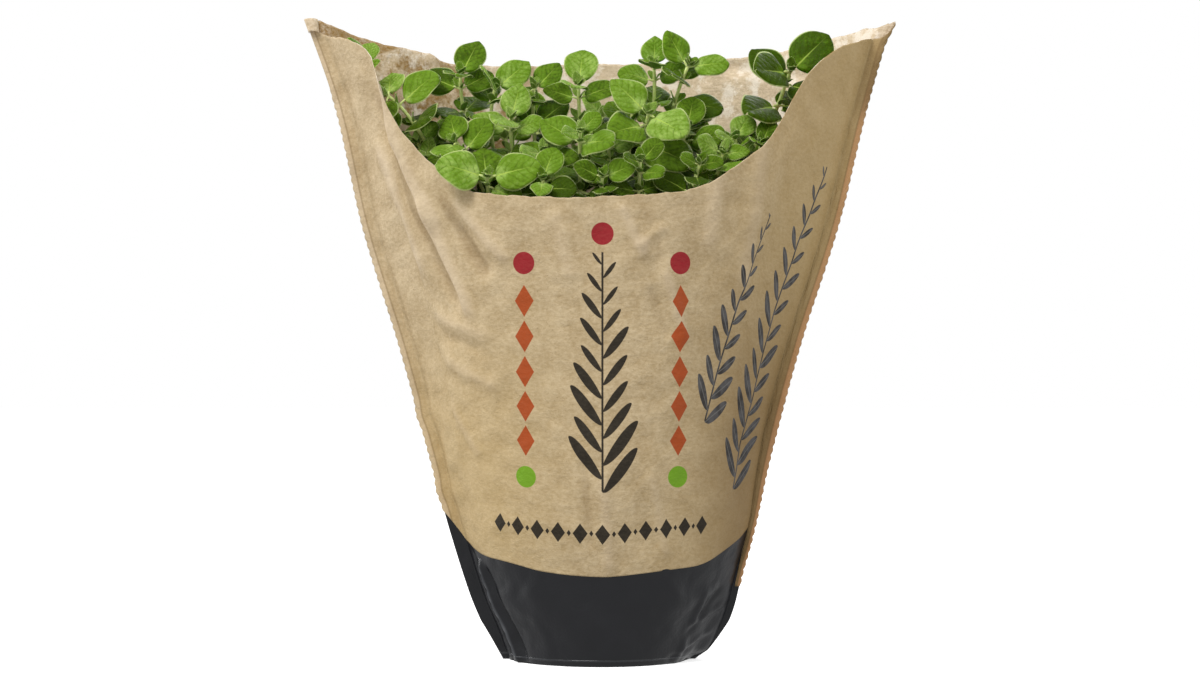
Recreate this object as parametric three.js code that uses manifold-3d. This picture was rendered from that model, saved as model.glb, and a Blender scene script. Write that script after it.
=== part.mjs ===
// A potted oregano plant in its paper herb sleeve. Millimetres, +Z up, the sleeve's open front towards -Y.
// The origin is the centre of the flat base that the sleeve stands on.
//
// From the outside in: two kraft paper panels sealed face to face along a flat fin at each side, the front
// one scooped low and the back one tall; a black film cup that the panels run down to; a nursery pot
// standing in the cup; potting mix; and the leafy stems, each one node, which stand in plain holes in the
// mix.
import * as THREE from "three";
import { mergeVertices } from "three/addons/utils/BufferGeometryUtils.js";
import Module from "manifold-3d";

const wasm = await Module();
wasm.setup();

// ---- Driving dimensions ---------------------------------------------------------------------------------

const SHEET = 0.6; // thickness that stands for the paper and the film
const GAP = 0.3; // clearance between pieces that touch
const LAP_GAP = 0.6; // clearance between the film's upper edge and the paper's lower one
const FIN_WIDTH = 6.5; // the sealed side seam
const FIN_WIDTH_AT_BASE = 3;
const FIN_TAPER_HEIGHT = 18; // below this the seam is cut back towards the base
const FIN_TOP_DROP = 1.5; // how far below the cup's edge the film fin's sloping top starts, at the seam
const TIP_HEIGHT = 299; // the two upper corners
const BACK_EDGE_HEIGHT = 282; // the back panel's upper edge, at its middle

// Cross-sections of the sleeve: the seams' distances from the axis, the panels' depth, and half the arc
// that a panel's section sweeps, in radians (a half circle at the base, flatter and more pointed towards
// the top).
const SECTIONS = [
  { z: 0, left: 41, right: 42, depth: 41, sweep: 1.52 },
  { z: 12, left: 45.5, right: 49, depth: 43, sweep: 1.48 },
  { z: 30, left: 53, right: 57, depth: 46, sweep: 1.42 },
  { z: 60, left: 62.5, right: 66, depth: 51, sweep: 1.36 },
  { z: 90, left: 70.5, right: 72.5, depth: 55.5, sweep: 1.3 },
  { z: 145, left: 85.5, right: 87, depth: 60, sweep: 1.2 },
  { z: 200, left: 102.5, right: 104.5, depth: 64.5, sweep: 1.1 },
  { z: 255, left: 115, right: 118, depth: 70.5, sweep: 1.05 },
  { z: 300, left: 130.5, right: 130.5, depth: 75, sweep: 1.03 },
];

// The scooped edge of the front panel: height against the share of the way from the middle to a seam.
const SCOOP = [
  { at: 0, z: 212 },
  { at: 0.33, z: 214.5 },
  { at: 0.44, z: 218 },
  { at: 0.55, z: 228 },
  { at: 0.63, z: 236.5 },
  { at: 0.68, z: 245 },
  { at: 0.72, z: 258 },
  { at: 0.76, z: 271 },
  { at: 0.81, z: 281 },
  { at: 0.88, z: 286.5 },
  { at: 1, z: 289.5 },
];
const SCOOP_SHIFT = 0.09; // how far the scoop sits towards the left seam, in the same share

// The film's upper edge, where the paper begins: height against that share, which goes on from the seams
// at -1 and 1 to the fins' outer edges at -2 and 2.
const FILM_EDGE = [
  { at: -2, z: 69 },
  { at: -1, z: 55.5 },
  { at: -0.77, z: 50 },
  { at: -0.52, z: 47 },
  { at: -0.31, z: 43.5 },
  { at: 0, z: 41.3 },
  { at: 0.3, z: 42.5 },
  { at: 0.56, z: 43.8 },
  { at: 0.7, z: 45.7 },
  { at: 0.9, z: 50.5 },
  { at: 1, z: 54 },
  { at: 2, z: 62 },
];

const POT = {
  height: 88,
  rimRadius: 52.5,
  baseRadius: 37.5,
  wall: 0.9,
  rimBand: 7, // height of the stiffening band under the rim
  rimStep: 1.6, // how far the band stands out of the wall
  foot: 2.2, // the recess of the floor inside its standing ring
  footWidth: 5,
  holes: 6,
  holeRadius: 4,
  holeCircle: 22,
  sides: 24,
};

const SOIL = { top: 80, rings: 2, bump: 1.6, radialGap: 0.35 };
const STEM = { foot: 12, footRadius: 1.35, tipRadius: 0.75, holeRadius: 1.95, holeSides: 6 };
const BARE_STATIONS = [0, 0.16, 0.32]; // corners of the stem's curve below its leaves
const LEAF_GAP = 0.45; // clearance kept between a leaf and every other node
const OWN_LEAF_GAP = 0.15; // clearance kept between the leaves of one stem
const ATTEMPTS = 9; // how many ways a leaf is turned before it is left out
const LEAF_THICKNESS = 1.1; // at the midrib; the blade thins to an edge

// One entry for each stem that shows over the front panel: where its tip is, the way the tip leans, the
// length of its largest leaves, how long its top pair is as a share of them, its number of leaf pairs, and
// the azimuth of the top pair in degrees.
const FRONT_STEMS = [
  { tip: [-8, -42, 243], lean: [0.1, -1.15], leaf: 24, top: 0.42, pairs: 5, turn: 42 },
  { tip: [-65, -27, 239], lean: [-0.9, -0.7], leaf: 18, top: 0.9, pairs: 4, turn: 72 },
  { tip: [-50, -50, 222], lean: [0.1, -1.3], leaf: 23, top: 0.9, pairs: 4, turn: 15 },
  { tip: [-40, -20, 250], lean: [0.1, -0.7], leaf: 17, top: 0.9, pairs: 4, turn: 82 },
  { tip: [-9, 0, 267], lean: [0, -0.8], leaf: 18, top: 0.9, pairs: 5, turn: 88 },
  { tip: [-64, 2, 272], lean: [0.1, -0.7], leaf: 19, top: 0.95, pairs: 5, turn: 74 },
  { tip: [-48, 5, 266], lean: [0.35, -0.4], leaf: 18, top: 0.95, pairs: 5, turn: 32 },
  { tip: [-30, 8, 266], lean: [0.1, -0.3], leaf: 17, top: 0.85, pairs: 5, turn: 25 },
  { tip: [-98, -3, 262], lean: [-1.5, -0.3], leaf: 22, top: 0.85, pairs: 4, turn: 75 },
  { tip: [-110, 5, 278], lean: [0.1, 0], leaf: 12, top: 0.9, pairs: 3, turn: 50 },
  { tip: [26, 4, 276], lean: [-0.1, -0.7], leaf: 17, top: 0.8, pairs: 5, turn: 85 },
  { tip: [42, 0, 276], lean: [0.5, -0.5], leaf: 20, top: 0.8, pairs: 5, turn: -8 },
  { tip: [23, -31, 252], lean: [0.2, -1.1], leaf: 21, top: 0.9, pairs: 5, turn: -30 },
  { tip: [89, -9, 273], lean: [0.3, -1], leaf: 22, top: 0.9, pairs: 4, turn: 60 },
  { tip: [63, -20, 241], lean: [-0.1, -0.6], leaf: 15, top: 0.8, pairs: 5, turn: 55 },
  { tip: [19, -50, 229], lean: [0, -0.7], leaf: 13, top: 0.8, pairs: 4, turn: 35 },
  { tip: [46, -45, 228], lean: [0.3, -0.7], leaf: 14, top: 0.6, pairs: 4, turn: 15 },
  { tip: [-25, -34, 234], lean: [0, -0.8], leaf: 19, top: 0.7, pairs: 4, turn: 45 },
  { tip: [-84, 4, 240], lean: [-0.4, -0.5], leaf: 18, top: 0.6, pairs: 4, turn: 5 },
  { tip: [-80, -16, 231], lean: [-0.5, -0.6], leaf: 18, top: 0.5, pairs: 4, turn: 40 },
  { tip: [5, -28, 236], lean: [0, -0.9], leaf: 20, top: 0.6, pairs: 4, turn: 15 },
  { tip: [41, -12, 246], lean: [0, -0.7], leaf: 20, top: 0.7, pairs: 4, turn: 70 },
  { tip: [57, -30, 234], lean: [0.2, -0.7], leaf: 17, top: 0.7, pairs: 4, turn: 25 },
  { tip: [75, -22, 238], lean: [0.3, -0.6], leaf: 18, top: 0.7, pairs: 4, turn: 80 },
  { tip: [-25, -51, 221], lean: [0, -1], leaf: 17, top: 0.8, pairs: 3, turn: 60 },
  { tip: [2, -52, 222], lean: [0.1, -1], leaf: 15, top: 0.8, pairs: 3, turn: 20 },
];

// Rows of stems behind those, which fill the sleeve as far as the back panel and are lower at their ends.
const BACK_ROWS = [
  { count: 6, y: 27, halfWidth: 74, z: 254, leaf: 20 },
  { count: 5, y: 49, halfWidth: 54, z: 256, leaf: 20 },
];
const END_DROP = 15;
const STEM_ROOM = 2.5; // how far a stem of those rows may be drawn away from its place
const ROOT_SPREAD = [0.38, 0.76]; // a stem's foot, as a share of its tip's distance from the axis in X and Y

// A leaf blade's corners along its edge (half its width as a share of the widest) and along its midrib,
// against the share of its length. The lower leaves and the smallest ones have fewer.
const BLADES = {
  full: { edge: [[0.01, 0], [0.13, 0.84], [0.44, 1.02], [0.8, 0.74]], midrib: [0.01, 0.44, 0.8] },
  plain: { edge: [[0.01, 0], [0.25, 1], [0.72, 0.86]], midrib: [0.01, 0.5] },
};
const STALK_HALF_WIDTH = 0.65;
const TO_LIGHT = [0, -1.5, 0.35]; // the way that the blades' upper faces turn
// How long the leaves of each pair below the top one are, as a share of the stem's largest.
const PAIR_LENGTHS = [0.85, 1, 0.95, 0.85];

// ---- Small tools ----------------------------------------------------------------------------------------

// A smooth curve through rows of named values: the value of key where the rows' own coordinate is at.
function along(rows, coordinate, key, at) {
  const last = rows.length - 1;
  const x = THREE.MathUtils.clamp(at, rows[0][coordinate], rows[last][coordinate]);
  let i = 0;
  while (i < last - 1 && x > rows[i + 1][coordinate]) i++;
  const slope = (j) => {
    const a = rows[Math.max(j - 1, 0)];
    const b = rows[Math.min(j + 1, last)];
    return (b[key] - a[key]) / (b[coordinate] - a[coordinate]);
  };
  const span = rows[i + 1][coordinate] - rows[i][coordinate];
  const t = (x - rows[i][coordinate]) / span;
  const [t2, t3] = [t * t, t * t * t];
  return (
    rows[i][key] * (2 * t3 - 3 * t2 + 1) +
    rows[i + 1][key] * (3 * t2 - 2 * t3) +
    span * (slope(i) * (t3 - 2 * t2 + t) + slope(i + 1) * (t3 - t2))
  );
}

// A repeatable draw from 0 to 1 for a pair of whole numbers.
function draw(a, b) {
  let h = (Math.imul(a, 374761393) + Math.imul(b, 668265263)) >>> 0;
  h = Math.imul(h ^ (h >>> 13), 1274126177) >>> 0;
  return ((h ^ (h >>> 16)) >>> 0) / 4294967296;
}

function geometryOf(points, triangles) {
  const geometry = new THREE.BufferGeometry();
  geometry.setAttribute("position", new THREE.Float32BufferAttribute(points.flat(), 3));
  geometry.setIndex(triangles.flat());
  return geometry;
}

function toSolid(geometry) {
  const bare = geometry.clone();
  bare.deleteAttribute("normal");
  bare.deleteAttribute("uv");
  const merged = mergeVertices(bare, 1e-4);
  return new wasm.Manifold(
    new wasm.Mesh({
      numProp: 3,
      vertProperties: new Float32Array(merged.attributes.position.array),
      triVerts: new Uint32Array(merged.index.array),
    }),
  );
}

function toGeometry(solid) {
  const mesh = solid.getMesh();
  const geometry = new THREE.BufferGeometry();
  geometry.setAttribute("position", new THREE.BufferAttribute(mesh.vertProperties, 3));
  geometry.setIndex(new THREE.BufferAttribute(mesh.triVerts, 1));
  geometry.computeVertexNormals();
  return geometry;
}

// Triangles between two rows of corners, where row i starts at index i * across.
function strip(lower, upper, across, closed, flip) {
  const triangles = [];
  const steps = closed ? across : across - 1;
  for (let j = 0; j < steps; j++) {
    const k = (j + 1) % across;
    const [a, b, c, d] = [lower + j, lower + k, upper + k, upper + j];
    triangles.push(flip ? [a, c, b] : [a, b, c], flip ? [a, d, c] : [a, c, d]);
  }
  return triangles;
}

// ---- The sleeve's form ----------------------------------------------------------------------------------

const seamX = (z, side) => along(SECTIONS, "z", side < 0 ? "left" : "right", z);

function finWidth(z) {
  const taper = Math.min(z / FIN_TAPER_HEIGHT, 1);
  return FIN_WIDTH_AT_BASE + (FIN_WIDTH - FIN_WIDTH_AT_BASE) * taper;
}

// The middle of a panel's sheet at a height: f runs from -1 at the left seam to 1 at the right one, and
// face is -1 for the front and 1 for the back. Beyond the seams f goes on to -2 and 2 at the fins' outer
// edges.
function sleevePoint(f, z, face, seamOffset) {
  const side = Math.sign(f);
  if (Math.abs(f) > 1) {
    const out = (Math.abs(f) - 1) * finWidth(z);
    return [side * (seamX(z, side) + out), face * seamOffset, z];
  }
  const sweep = along(SECTIONS, "z", "sweep", z);
  const depth = along(SECTIONS, "z", "depth", z);
  const x = (seamX(z, side) * Math.sin(sweep * f)) / Math.sin(sweep);
  const y = (depth * (Math.cos(sweep * f) - Math.cos(sweep))) / (1 - Math.cos(sweep));
  return [x, face * (seamOffset + y), z];
}

const filmEdge = (f) => along(FILM_EDGE, "at", "z", f);

function frontEdge(f) {
  const across = Math.abs(f);
  if (across <= 1) return along(SCOOP, "at", "z", Math.abs(f + SCOOP_SHIFT * (1 - f * f)));
  return THREE.MathUtils.lerp(SCOOP[SCOOP.length - 1].z, TIP_HEIGHT, across - 1);
}

function backEdge(f) {
  const across = Math.abs(f);
  const atSeam = TIP_HEIGHT - 2;
  if (across <= 1) return BACK_EDGE_HEIGHT + (atSeam - BACK_EDGE_HEIGHT) * across ** 2.6;
  return THREE.MathUtils.lerp(atSeam, TIP_HEIGHT, across - 1);
}

// Corners shifted sideways by half the sheet, square to the section's outline at each corner.
function offsetRow(row, distance, closed) {
  const last = row.length - 1;
  return row.map(([x, y, z], i) => {
    const before = row[i > 0 ? i - 1 : closed ? last : 0];
    const after = row[i < last ? i + 1 : closed ? 0 : last];
    const into = new THREE.Vector2(x - before[0], y - before[1]).normalize();
    const outOf = new THREE.Vector2(after[0] - x, after[1] - y).normalize();
    const way = into.clone().add(outOf).normalize();
    const facing = into.length() > 0 ? into : outOf;
    const mitre = Math.min(1 / Math.max(way.dot(facing), 0.5), 1.6);
    return [x + way.y * distance * mitre, y - way.x * distance * mitre, z];
  });
}

// A closed sheet of the given thickness about a grid of middle points, its rows running from below to
// above.
function sheetSolid(rows) {
  const across = rows[0].length;
  const outer = rows.flatMap((row) => offsetRow(row, SHEET / 2, false));
  const inner = rows.flatMap((row) => offsetRow(row, -SHEET / 2, false));
  const base = outer.length;
  const triangles = [];
  for (let i = 0; i < rows.length - 1; i++) {
    triangles.push(...strip(i * across, (i + 1) * across, across, false, false));
    triangles.push(...strip(base + i * across, base + (i + 1) * across, across, false, true));
    for (const [j, flip] of [[0, false], [across - 1, true]]) {
      const [a, b] = [i * across + j, (i + 1) * across + j];
      const faces = [[a, b, base + b], [a, base + b, base + a]];
      triangles.push(...faces.map((t) => (flip ? [t[0], t[2], t[1]] : t)));
    }
  }
  triangles.push(...strip(0, base, across, false, true));
  const top = (rows.length - 1) * across;
  triangles.push(...strip(top, base + top, across, false, false));
  return toSolid(geometryOf([...outer, ...inner], triangles));
}

const PANEL_STEPS = 16; // columns of a panel from seam to seam
const panelColumns = [
  -2,
  ...Array.from({ length: PANEL_STEPS + 1 }, (_, i) => -1 + (2 * i) / PANEL_STEPS),
  2,
];

// A kraft panel: from just above the film's edge up to its own upper edge, with half of each side fin.
function paperPanel(face, upperEdge, rowCount) {
  const seamOffset = (GAP + SHEET) / 2;
  const columns = face < 0 ? panelColumns : [...panelColumns].reverse();
  const rows = Array.from({ length: rowCount + 1 }, (_, i) =>
    columns.map((f) => {
      const low = filmEdge(f) + LAP_GAP;
      return sleevePoint(f, THREE.MathUtils.lerp(low, upperEdge(f), i / rowCount), face, seamOffset);
    }),
  );
  return sheetSolid(rows);
}

// One side fin of the film: both of its layers welded into one strip, let into the cup's wall.
function filmFin(side) {
  const finRow = (seamZ, edgeZ) => [
    [side * (seamX(seamZ, side) - SHEET), 0, seamZ],
    [side * (seamX(edgeZ, side) + finWidth(edgeZ)), 0, edgeZ],
  ];
  const rows = [0, 6, FIN_TAPER_HEIGHT, 32, 48].map((z) => finRow(z, z));
  rows.push(finRow(filmEdge(side) - FIN_TOP_DROP, filmEdge(2 * side)));
  const points = [-1, 1].flatMap((layer) => rows.flat().map(([x, , z]) => [x, layer * SHEET, z]));
  const base = rows.length * 2;
  const triangles = [];
  for (let i = 0; i < rows.length - 1; i++) {
    const [a, b, c, d] = [2 * i, 2 * i + 1, 2 * i + 3, 2 * i + 2];
    triangles.push([a, b, c], [a, c, d]);
    triangles.push([base + a, base + c, base + b], [base + a, base + d, base + c]);
    triangles.push([b, base + b, base + c], [b, base + c, c]);
    triangles.push([a, base + d, base + a], [a, d, base + d]);
  }
  const top = 2 * (rows.length - 1);
  triangles.push([0, base, base + 1], [0, base + 1, 1]);
  triangles.push([top, top + 1, base + top + 1], [top, base + top + 1, base + top]);
  const facing = side > 0 ? triangles : triangles.map(([a, b, c]) => [a, c, b]);
  return toSolid(geometryOf(points, facing));
}

// The film cup: a flat floor and a wall all round, up to the wavy edge where the paper begins.
function filmCup() {
  const heights = [0, 0.12, 0.3, 0.55, 0.8, 1];
  const ring = [
    ...panelColumns.slice(1, -1).map((f) => [f, -1]),
    ...panelColumns.slice(2, -2).reverse().map((f) => [f, 1]),
  ];
  const rowAt = (share, inset) =>
    ring.map(([f, face]) => sleevePoint(f, Math.max(filmEdge(f) * share, inset), face, 0));
  const outer = heights.map((h) => offsetRow(rowAt(h, 0), SHEET / 2, true));
  const inner = heights.map((h) => offsetRow(rowAt(h, SHEET), -SHEET / 2, true));
  const across = ring.length;
  const points = [...outer.flat(), ...inner.flat(), [0, 0, 0], [0, 0, SHEET]];
  const base = heights.length * across;
  const triangles = [];
  for (let i = 0; i < heights.length - 1; i++) {
    triangles.push(...strip(i * across, (i + 1) * across, across, true, false));
    triangles.push(...strip(base + i * across, base + (i + 1) * across, across, true, true));
  }
  const top = (heights.length - 1) * across;
  triangles.push(...strip(top, base + top, across, true, false));
  for (let j = 0; j < across; j++) {
    const k = (j + 1) % across;
    triangles.push([2 * base, k, j], [2 * base + 1, base + j, base + k]);
  }
  const wall = toSolid(geometryOf(points, triangles));
  return wall.add(filmFin(-1)).add(filmFin(1));
}

// ---- Pot and potting mix --------------------------------------------------------------------------------

const POT_Z = SHEET + GAP; // the pot stands on the cup's floor
const potFloor = POT_Z + POT.foot + POT.wall;

// The pot's outer radius at a height above its own base, under the rim band.
function potRadius(h) {
  const wallTop = POT.rimRadius - POT.rimStep;
  return THREE.MathUtils.lerp(POT.baseRadius, wallTop, h / POT.height);
}

function potSolid() {
  const { wall, foot, footWidth, height, rimBand, rimStep, baseRadius, rimRadius, sides } = POT;
  const ringInner = baseRadius - footWidth;
  const bandLow = height - rimBand;
  const profile = [
    [0, foot],
    [ringInner, foot],
    [ringInner + 1, 0],
    [baseRadius, 0],
    [potRadius(bandLow), bandLow],
    [potRadius(bandLow) + rimStep, bandLow],
    [rimRadius, height],
    [rimRadius - wall, height],
    [potRadius(bandLow) + rimStep - wall, bandLow + wall],
    [potRadius(bandLow) - wall, bandLow],
    [potRadius(foot) - wall, foot + wall],
    [0, foot + wall],
  ].map(([r, z]) => new THREE.Vector2(r, z + POT_Z));
  let pot = toSolid(new THREE.LatheGeometry(profile, sides).rotateX(Math.PI / 2));
  for (let i = 0; i < POT.holes; i++) {
    const angle = (2 * Math.PI * i) / POT.holes;
    const hole = new THREE.CylinderGeometry(POT.holeRadius, POT.holeRadius, 20, 8).rotateX(Math.PI / 2);
    hole.translate(POT.holeCircle * Math.cos(angle), POT.holeCircle * Math.sin(angle), POT_Z);
    pot = pot.subtract(toSolid(hole));
  }
  return pot;
}

// The mix's surface: lumpy, a little lower at the pot's wall.
function soilTop(x, y) {
  const r = Math.hypot(x, y) / POT.rimRadius;
  const lumps = Math.sin(x * 0.31 + 1.3) * Math.cos(y * 0.27 - 0.4) + 0.5 * Math.sin(x * 0.71 - y * 0.53);
  return SOIL.top + SOIL.bump * lumps - 2.5 * r * r;
}

function soilSolid(stems) {
  const { rings, radialGap } = SOIL;
  const sectors = POT.sides;
  const bottom = potFloor + GAP;
  const radiusAt = (z) => potRadius(z - POT_Z) - POT.wall - radialGap;
  const circle = (radius, height) =>
    Array.from({ length: sectors }, (_, i) => {
      const angle = (2 * Math.PI * i) / sectors;
      const [x, y] = [radius * Math.cos(angle), radius * Math.sin(angle)];
      return [x, y, height(x, y)];
    });
  const points = [[0, 0, bottom], ...circle(radiusAt(bottom), () => bottom)];
  for (let ring = rings; ring > 0; ring--) {
    points.push(...circle((radiusAt(SOIL.top - 5) * ring) / rings, soilTop));
  }
  points.push([0, 0, soilTop(0, 0)]);
  const triangles = [];
  for (let ring = 0; ring < rings; ring++) {
    triangles.push(...strip(1 + ring * sectors, 1 + (ring + 1) * sectors, sectors, true, false));
  }
  const last = 1 + rings * sectors;
  for (let j = 0; j < sectors; j++) {
    const k = (j + 1) % sectors;
    triangles.push([0, 1 + k, 1 + j], [points.length - 1, last + j, last + k]);
  }
  let soil = toSolid(geometryOf(points, triangles));
  for (const stem of stems) {
    const { x, y, z } = stem.curve.v0;
    const hole = new THREE.CylinderGeometry(STEM.holeRadius, STEM.holeRadius, 2 * STEM.foot, STEM.holeSides);
    hole.rotateX(Math.PI / 2).translate(x, y, z - GAP);
    soil = soil.subtract(toSolid(hole));
  }
  return soil;
}

// ---- Stems and leaves -----------------------------------------------------------------------------------

// The stems of the back rows, each drawn a little away from its even place and leaning outwards.
function backStems() {
  return BACK_ROWS.flatMap(({ count, y, halfWidth, z, leaf }, row) =>
    Array.from({ length: count }, (_, i) => {
      const vary = (n, size) => size * (2 * draw(700 + 20 * row + i, n) - 1);
      const across = (2 * i) / (count - 1) - 1;
      const depth = y - 12 * across * across;
      const height = z - END_DROP * across * across;
      return {
        tip: [across * halfWidth + vary(1, STEM_ROOM), depth + vary(2, STEM_ROOM), height + vary(3, 6)],
        lean: [0.35 * across + vary(4, 0.15), depth / 90 + vary(5, 0.15)],
        leaf: leaf + vary(6, 2),
        top: 0.65,
        pairs: 4,
        turn: 90 * draw(700 + 20 * row + i, 7),
      };
    }),
  );
}

// A stem's curve from where it comes straight out of the mix to its tip.
function stemCurve({ tip, lean }) {
  const foot = new THREE.Vector3(tip[0] * ROOT_SPREAD[0], tip[1] * ROOT_SPREAD[1], 0);
  foot.z = soilTop(foot.x, foot.y) + 2;
  const end = new THREE.Vector3(...tip);
  const reach = end.z - foot.z;
  const way = new THREE.Vector3(lean[0], lean[1], 1).normalize();
  return new THREE.CubicBezierCurve3(
    foot,
    foot.clone().add(new THREE.Vector3(0, 0, reach * 0.3)),
    end.clone().addScaledVector(way, -reach * 0.2),
    end,
  );
}

// Two directions square to a stem at a place along it, the first as level as it can be.
function stemFrame(curve, t) {
  const along = curve.getTangent(t);
  const first = new THREE.Vector3(along.z, 0, -along.x).normalize();
  const second = new THREE.Vector3().crossVectors(along, first);
  return { along, first, second };
}

// The square stem of the mint family: straight where it stands in the mix, then thinner towards its tip,
// with a corner of its curve at each pair of leaves.
function stemSolid(curve, pairs) {
  const points = [];
  const { foot, footRadius, tipRadius } = STEM;
  const nodes = Array.from({ length: pairs }, (_, k) => pairPlace(pairs - 1 - k));
  const stations = [-1, ...BARE_STATIONS, ...nodes, 1];
  for (const station of stations) {
    const t = Math.max(station, 0);
    const centre = curve.getPoint(t);
    if (station < 0) centre.z -= foot;
    const { first, second } = stemFrame(curve, t);
    const radius = THREE.MathUtils.lerp(footRadius, tipRadius, t);
    for (let j = 0; j < 4; j++) {
      const corner = centre.clone();
      corner.addScaledVector(first, radius * Math.cos((j * Math.PI) / 2));
      corner.addScaledVector(second, radius * Math.sin((j * Math.PI) / 2));
      points.push(corner.toArray());
    }
  }
  const triangles = [[0, 3, 2], [0, 2, 1]];
  for (let i = 0; i < stations.length - 1; i++) triangles.push(...strip(4 * i, 4 * i + 4, 4, true, false));
  const top = 4 * (stations.length - 1);
  triangles.push([top, top + 1, top + 2], [top, top + 2, top + 3]);
  return toSolid(geometryOf(points, triangles));
}

// Where pair number k of a stem stands, counted from the tip: close together at the tip, further apart
// below.
const pairPlace = (k) => 0.992 - 0.042 * k - 0.0125 * k * k;

// One leaf's place and form. Attempt 0 is the leaf as it would grow, and later attempts turn and shrink it.
function leafForm(stem, stemIndex, pair, side, attempt) {
  const seed = 100 * stemIndex + 10 * pair + side;
  const swing = attempt === 0 ? 0 : 0.22 + 0.09 * attempt;
  const vary = (n, size) => size * (2 * draw(seed, n) - 1);
  const retry = (n) => swing * (2 * draw(seed, 31 * attempt + n) - 1);
  const { along: up, first, second } = stemFrame(stem.curve, pairPlace(pair));
  const azimuth = THREE.MathUtils.degToRad(stem.turn) + (pair * Math.PI) / 2 + side * Math.PI;
  const angle = azimuth + vary(1, 0.22) + 1.2 * retry(11);
  const lift = 0.95 - 0.45 * Math.hypot(...stem.lean) - 0.2 * pair + vary(2, 0.14) + retry(12);
  const out = first.clone().multiplyScalar(Math.cos(angle)).addScaledVector(second, Math.sin(angle));
  const way = out.clone().multiplyScalar(Math.cos(lift)).addScaledVector(up, Math.sin(lift)).normalize();
  const face = up.clone().multiplyScalar(Math.cos(lift)).addScaledVector(out, -Math.sin(lift));
  face.add(new THREE.Vector3(...TO_LIGHT));
  const across = new THREE.Vector3().crossVectors(way, face).normalize();
  const normal = new THREE.Vector3().crossVectors(across, way);
  const size = (1 + vary(3, 0.1)) * (1 - 0.035 * attempt);
  const share = pair === 0 ? stem.top : PAIR_LENGTHS[pair - 1];
  const length = stem.leaf * share * size;
  return {
    origin: stem.curve.getPoint(pairPlace(pair)),
    way,
    across,
    normal,
    length,
    half: length * (0.44 + vary(4, 0.05)),
    stalk: 1.2 + 0.13 * length,
    droop: 0.1 + vary(5, 0.1) + 0.03 * pair,
    cup: 0.12 + vary(6, 0.12),
  };
}

// A point of a leaf's middle surface: s along the blade from 0 to 1, v across it in mm.
function leafPoint(leaf, s, v, above) {
  const { origin, way, across, normal, length, half, stalk, droop, cup } = leaf;
  const rise = cup * (v / half) ** 2 * half - droop * s * s * length + above;
  return origin
    .clone()
    .addScaledVector(way, stalk + s * length)
    .addScaledVector(across, v)
    .addScaledVector(normal, rise)
    .toArray();
}

// A leaf: its stalk starts inside the stem, and its blade thins from the midrib to the edge.
function leafSolid(leaf, blade) {
  const edge = blade.edge.length;
  const ribs = blade.midrib.length;
  const points = [leaf.origin.toArray(), leafPoint(leaf, 1, 0, 0)];
  for (const side of [-1, 1]) {
    for (const [at, half] of blade.edge) {
      points.push(leafPoint(leaf, at, side * Math.max(half * leaf.half, STALK_HALF_WIDTH), 0));
    }
  }
  for (const above of [LEAF_THICKNESS / 2, -LEAF_THICKNESS / 2]) {
    for (const at of blade.midrib) points.push(leafPoint(leaf, at, 0, above));
  }
  const triangles = [];
  for (const [side, firstEdge] of [2, 2 + edge].entries()) {
    for (const [face, firstRib] of [2 + 2 * edge, 2 + 2 * edge + ribs].entries()) {
      const faces = [[0, firstEdge, firstRib], [firstEdge + ribs, 1, firstRib + ribs - 1]];
      for (let i = 0; i < ribs; i++) {
        faces.push([firstEdge + i, firstEdge + i + 1, firstRib + i]);
        if (i > 0) faces.push([firstEdge + i, firstRib + i, firstRib + i - 1]);
      }
      triangles.push(...faces.map((t) => (side !== face ? t : [t[0], t[2], t[1]])));
    }
  }
  return toSolid(geometryOf(points, triangles));
}

function boxesApart(a, b, gap) {
  return [0, 1, 2].some((i) => a.min[i] > b.max[i] + gap || b.min[i] > a.max[i] + gap);
}

function clearOf(solid, others, gap) {
  const box = solid.boundingBox();
  return others.every(
    (other) => boxesApart(box, other.box, gap) || solid.minGap(other.solid, gap + 0.1) >= gap,
  );
}

// Grows every leaf, the top pairs of all the stems first, each kept clear of everything that is already
// there.
function growLeaves(stems, surroundings) {
  const placed = surroundings.map((solid) => ({ solid, box: solid.boundingBox(), stem: null }));
  for (const stem of stems) {
    placed.push({ solid: stem.solid, box: stem.solid.boundingBox(), stem, tube: true });
  }
  for (let pair = 0; pair <= PAIR_LENGTHS.length; pair++) {
    stems.forEach((stem, stemIndex) => {
      if (pair >= stem.pairs) return;
      for (const side of [0, 1]) {
        for (let attempt = 0; attempt < ATTEMPTS; attempt++) {
          const blade = pair < 2 ? BLADES.full : BLADES.plain;
          const solid = leafSolid(leafForm(stem, stemIndex, pair, side, attempt), blade);
          const strangers = placed.filter((p) => p.stem !== stem);
          const own = placed.filter((p) => p.stem === stem && !p.tube && p.pair !== pair);
          if (!clearOf(solid, strangers, LEAF_GAP) || !clearOf(solid, own, OWN_LEAF_GAP)) continue;
          placed.push({ solid, box: solid.boundingBox(), stem, pair });
          stem.leaves.push(solid);
          break;
        }
      }
    });
  }
}

// ---- The object -----------------------------------------------------------------------------------------

const MATERIALS = {
  kraft: new THREE.MeshStandardMaterial({ color: 0xb89a6c, roughness: 0.85, metalness: 0 }),
  film: new THREE.MeshStandardMaterial({ color: 0x2b2d30, roughness: 0.4, metalness: 0 }),
  pot: new THREE.MeshStandardMaterial({ color: 0x1c1c1d, roughness: 0.55, metalness: 0 }),
  soil: new THREE.MeshStandardMaterial({ color: 0x33251a, roughness: 1, metalness: 0 }),
  leaf: new THREE.MeshStandardMaterial({ color: 0x5e8c2a, roughness: 0.6, metalness: 0 }),
};

const plant = new THREE.Group();

function addNode(name, solid, material) {
  const mesh = new THREE.Mesh(toGeometry(solid), material);
  mesh.name = name;
  plant.add(mesh);
}

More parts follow.
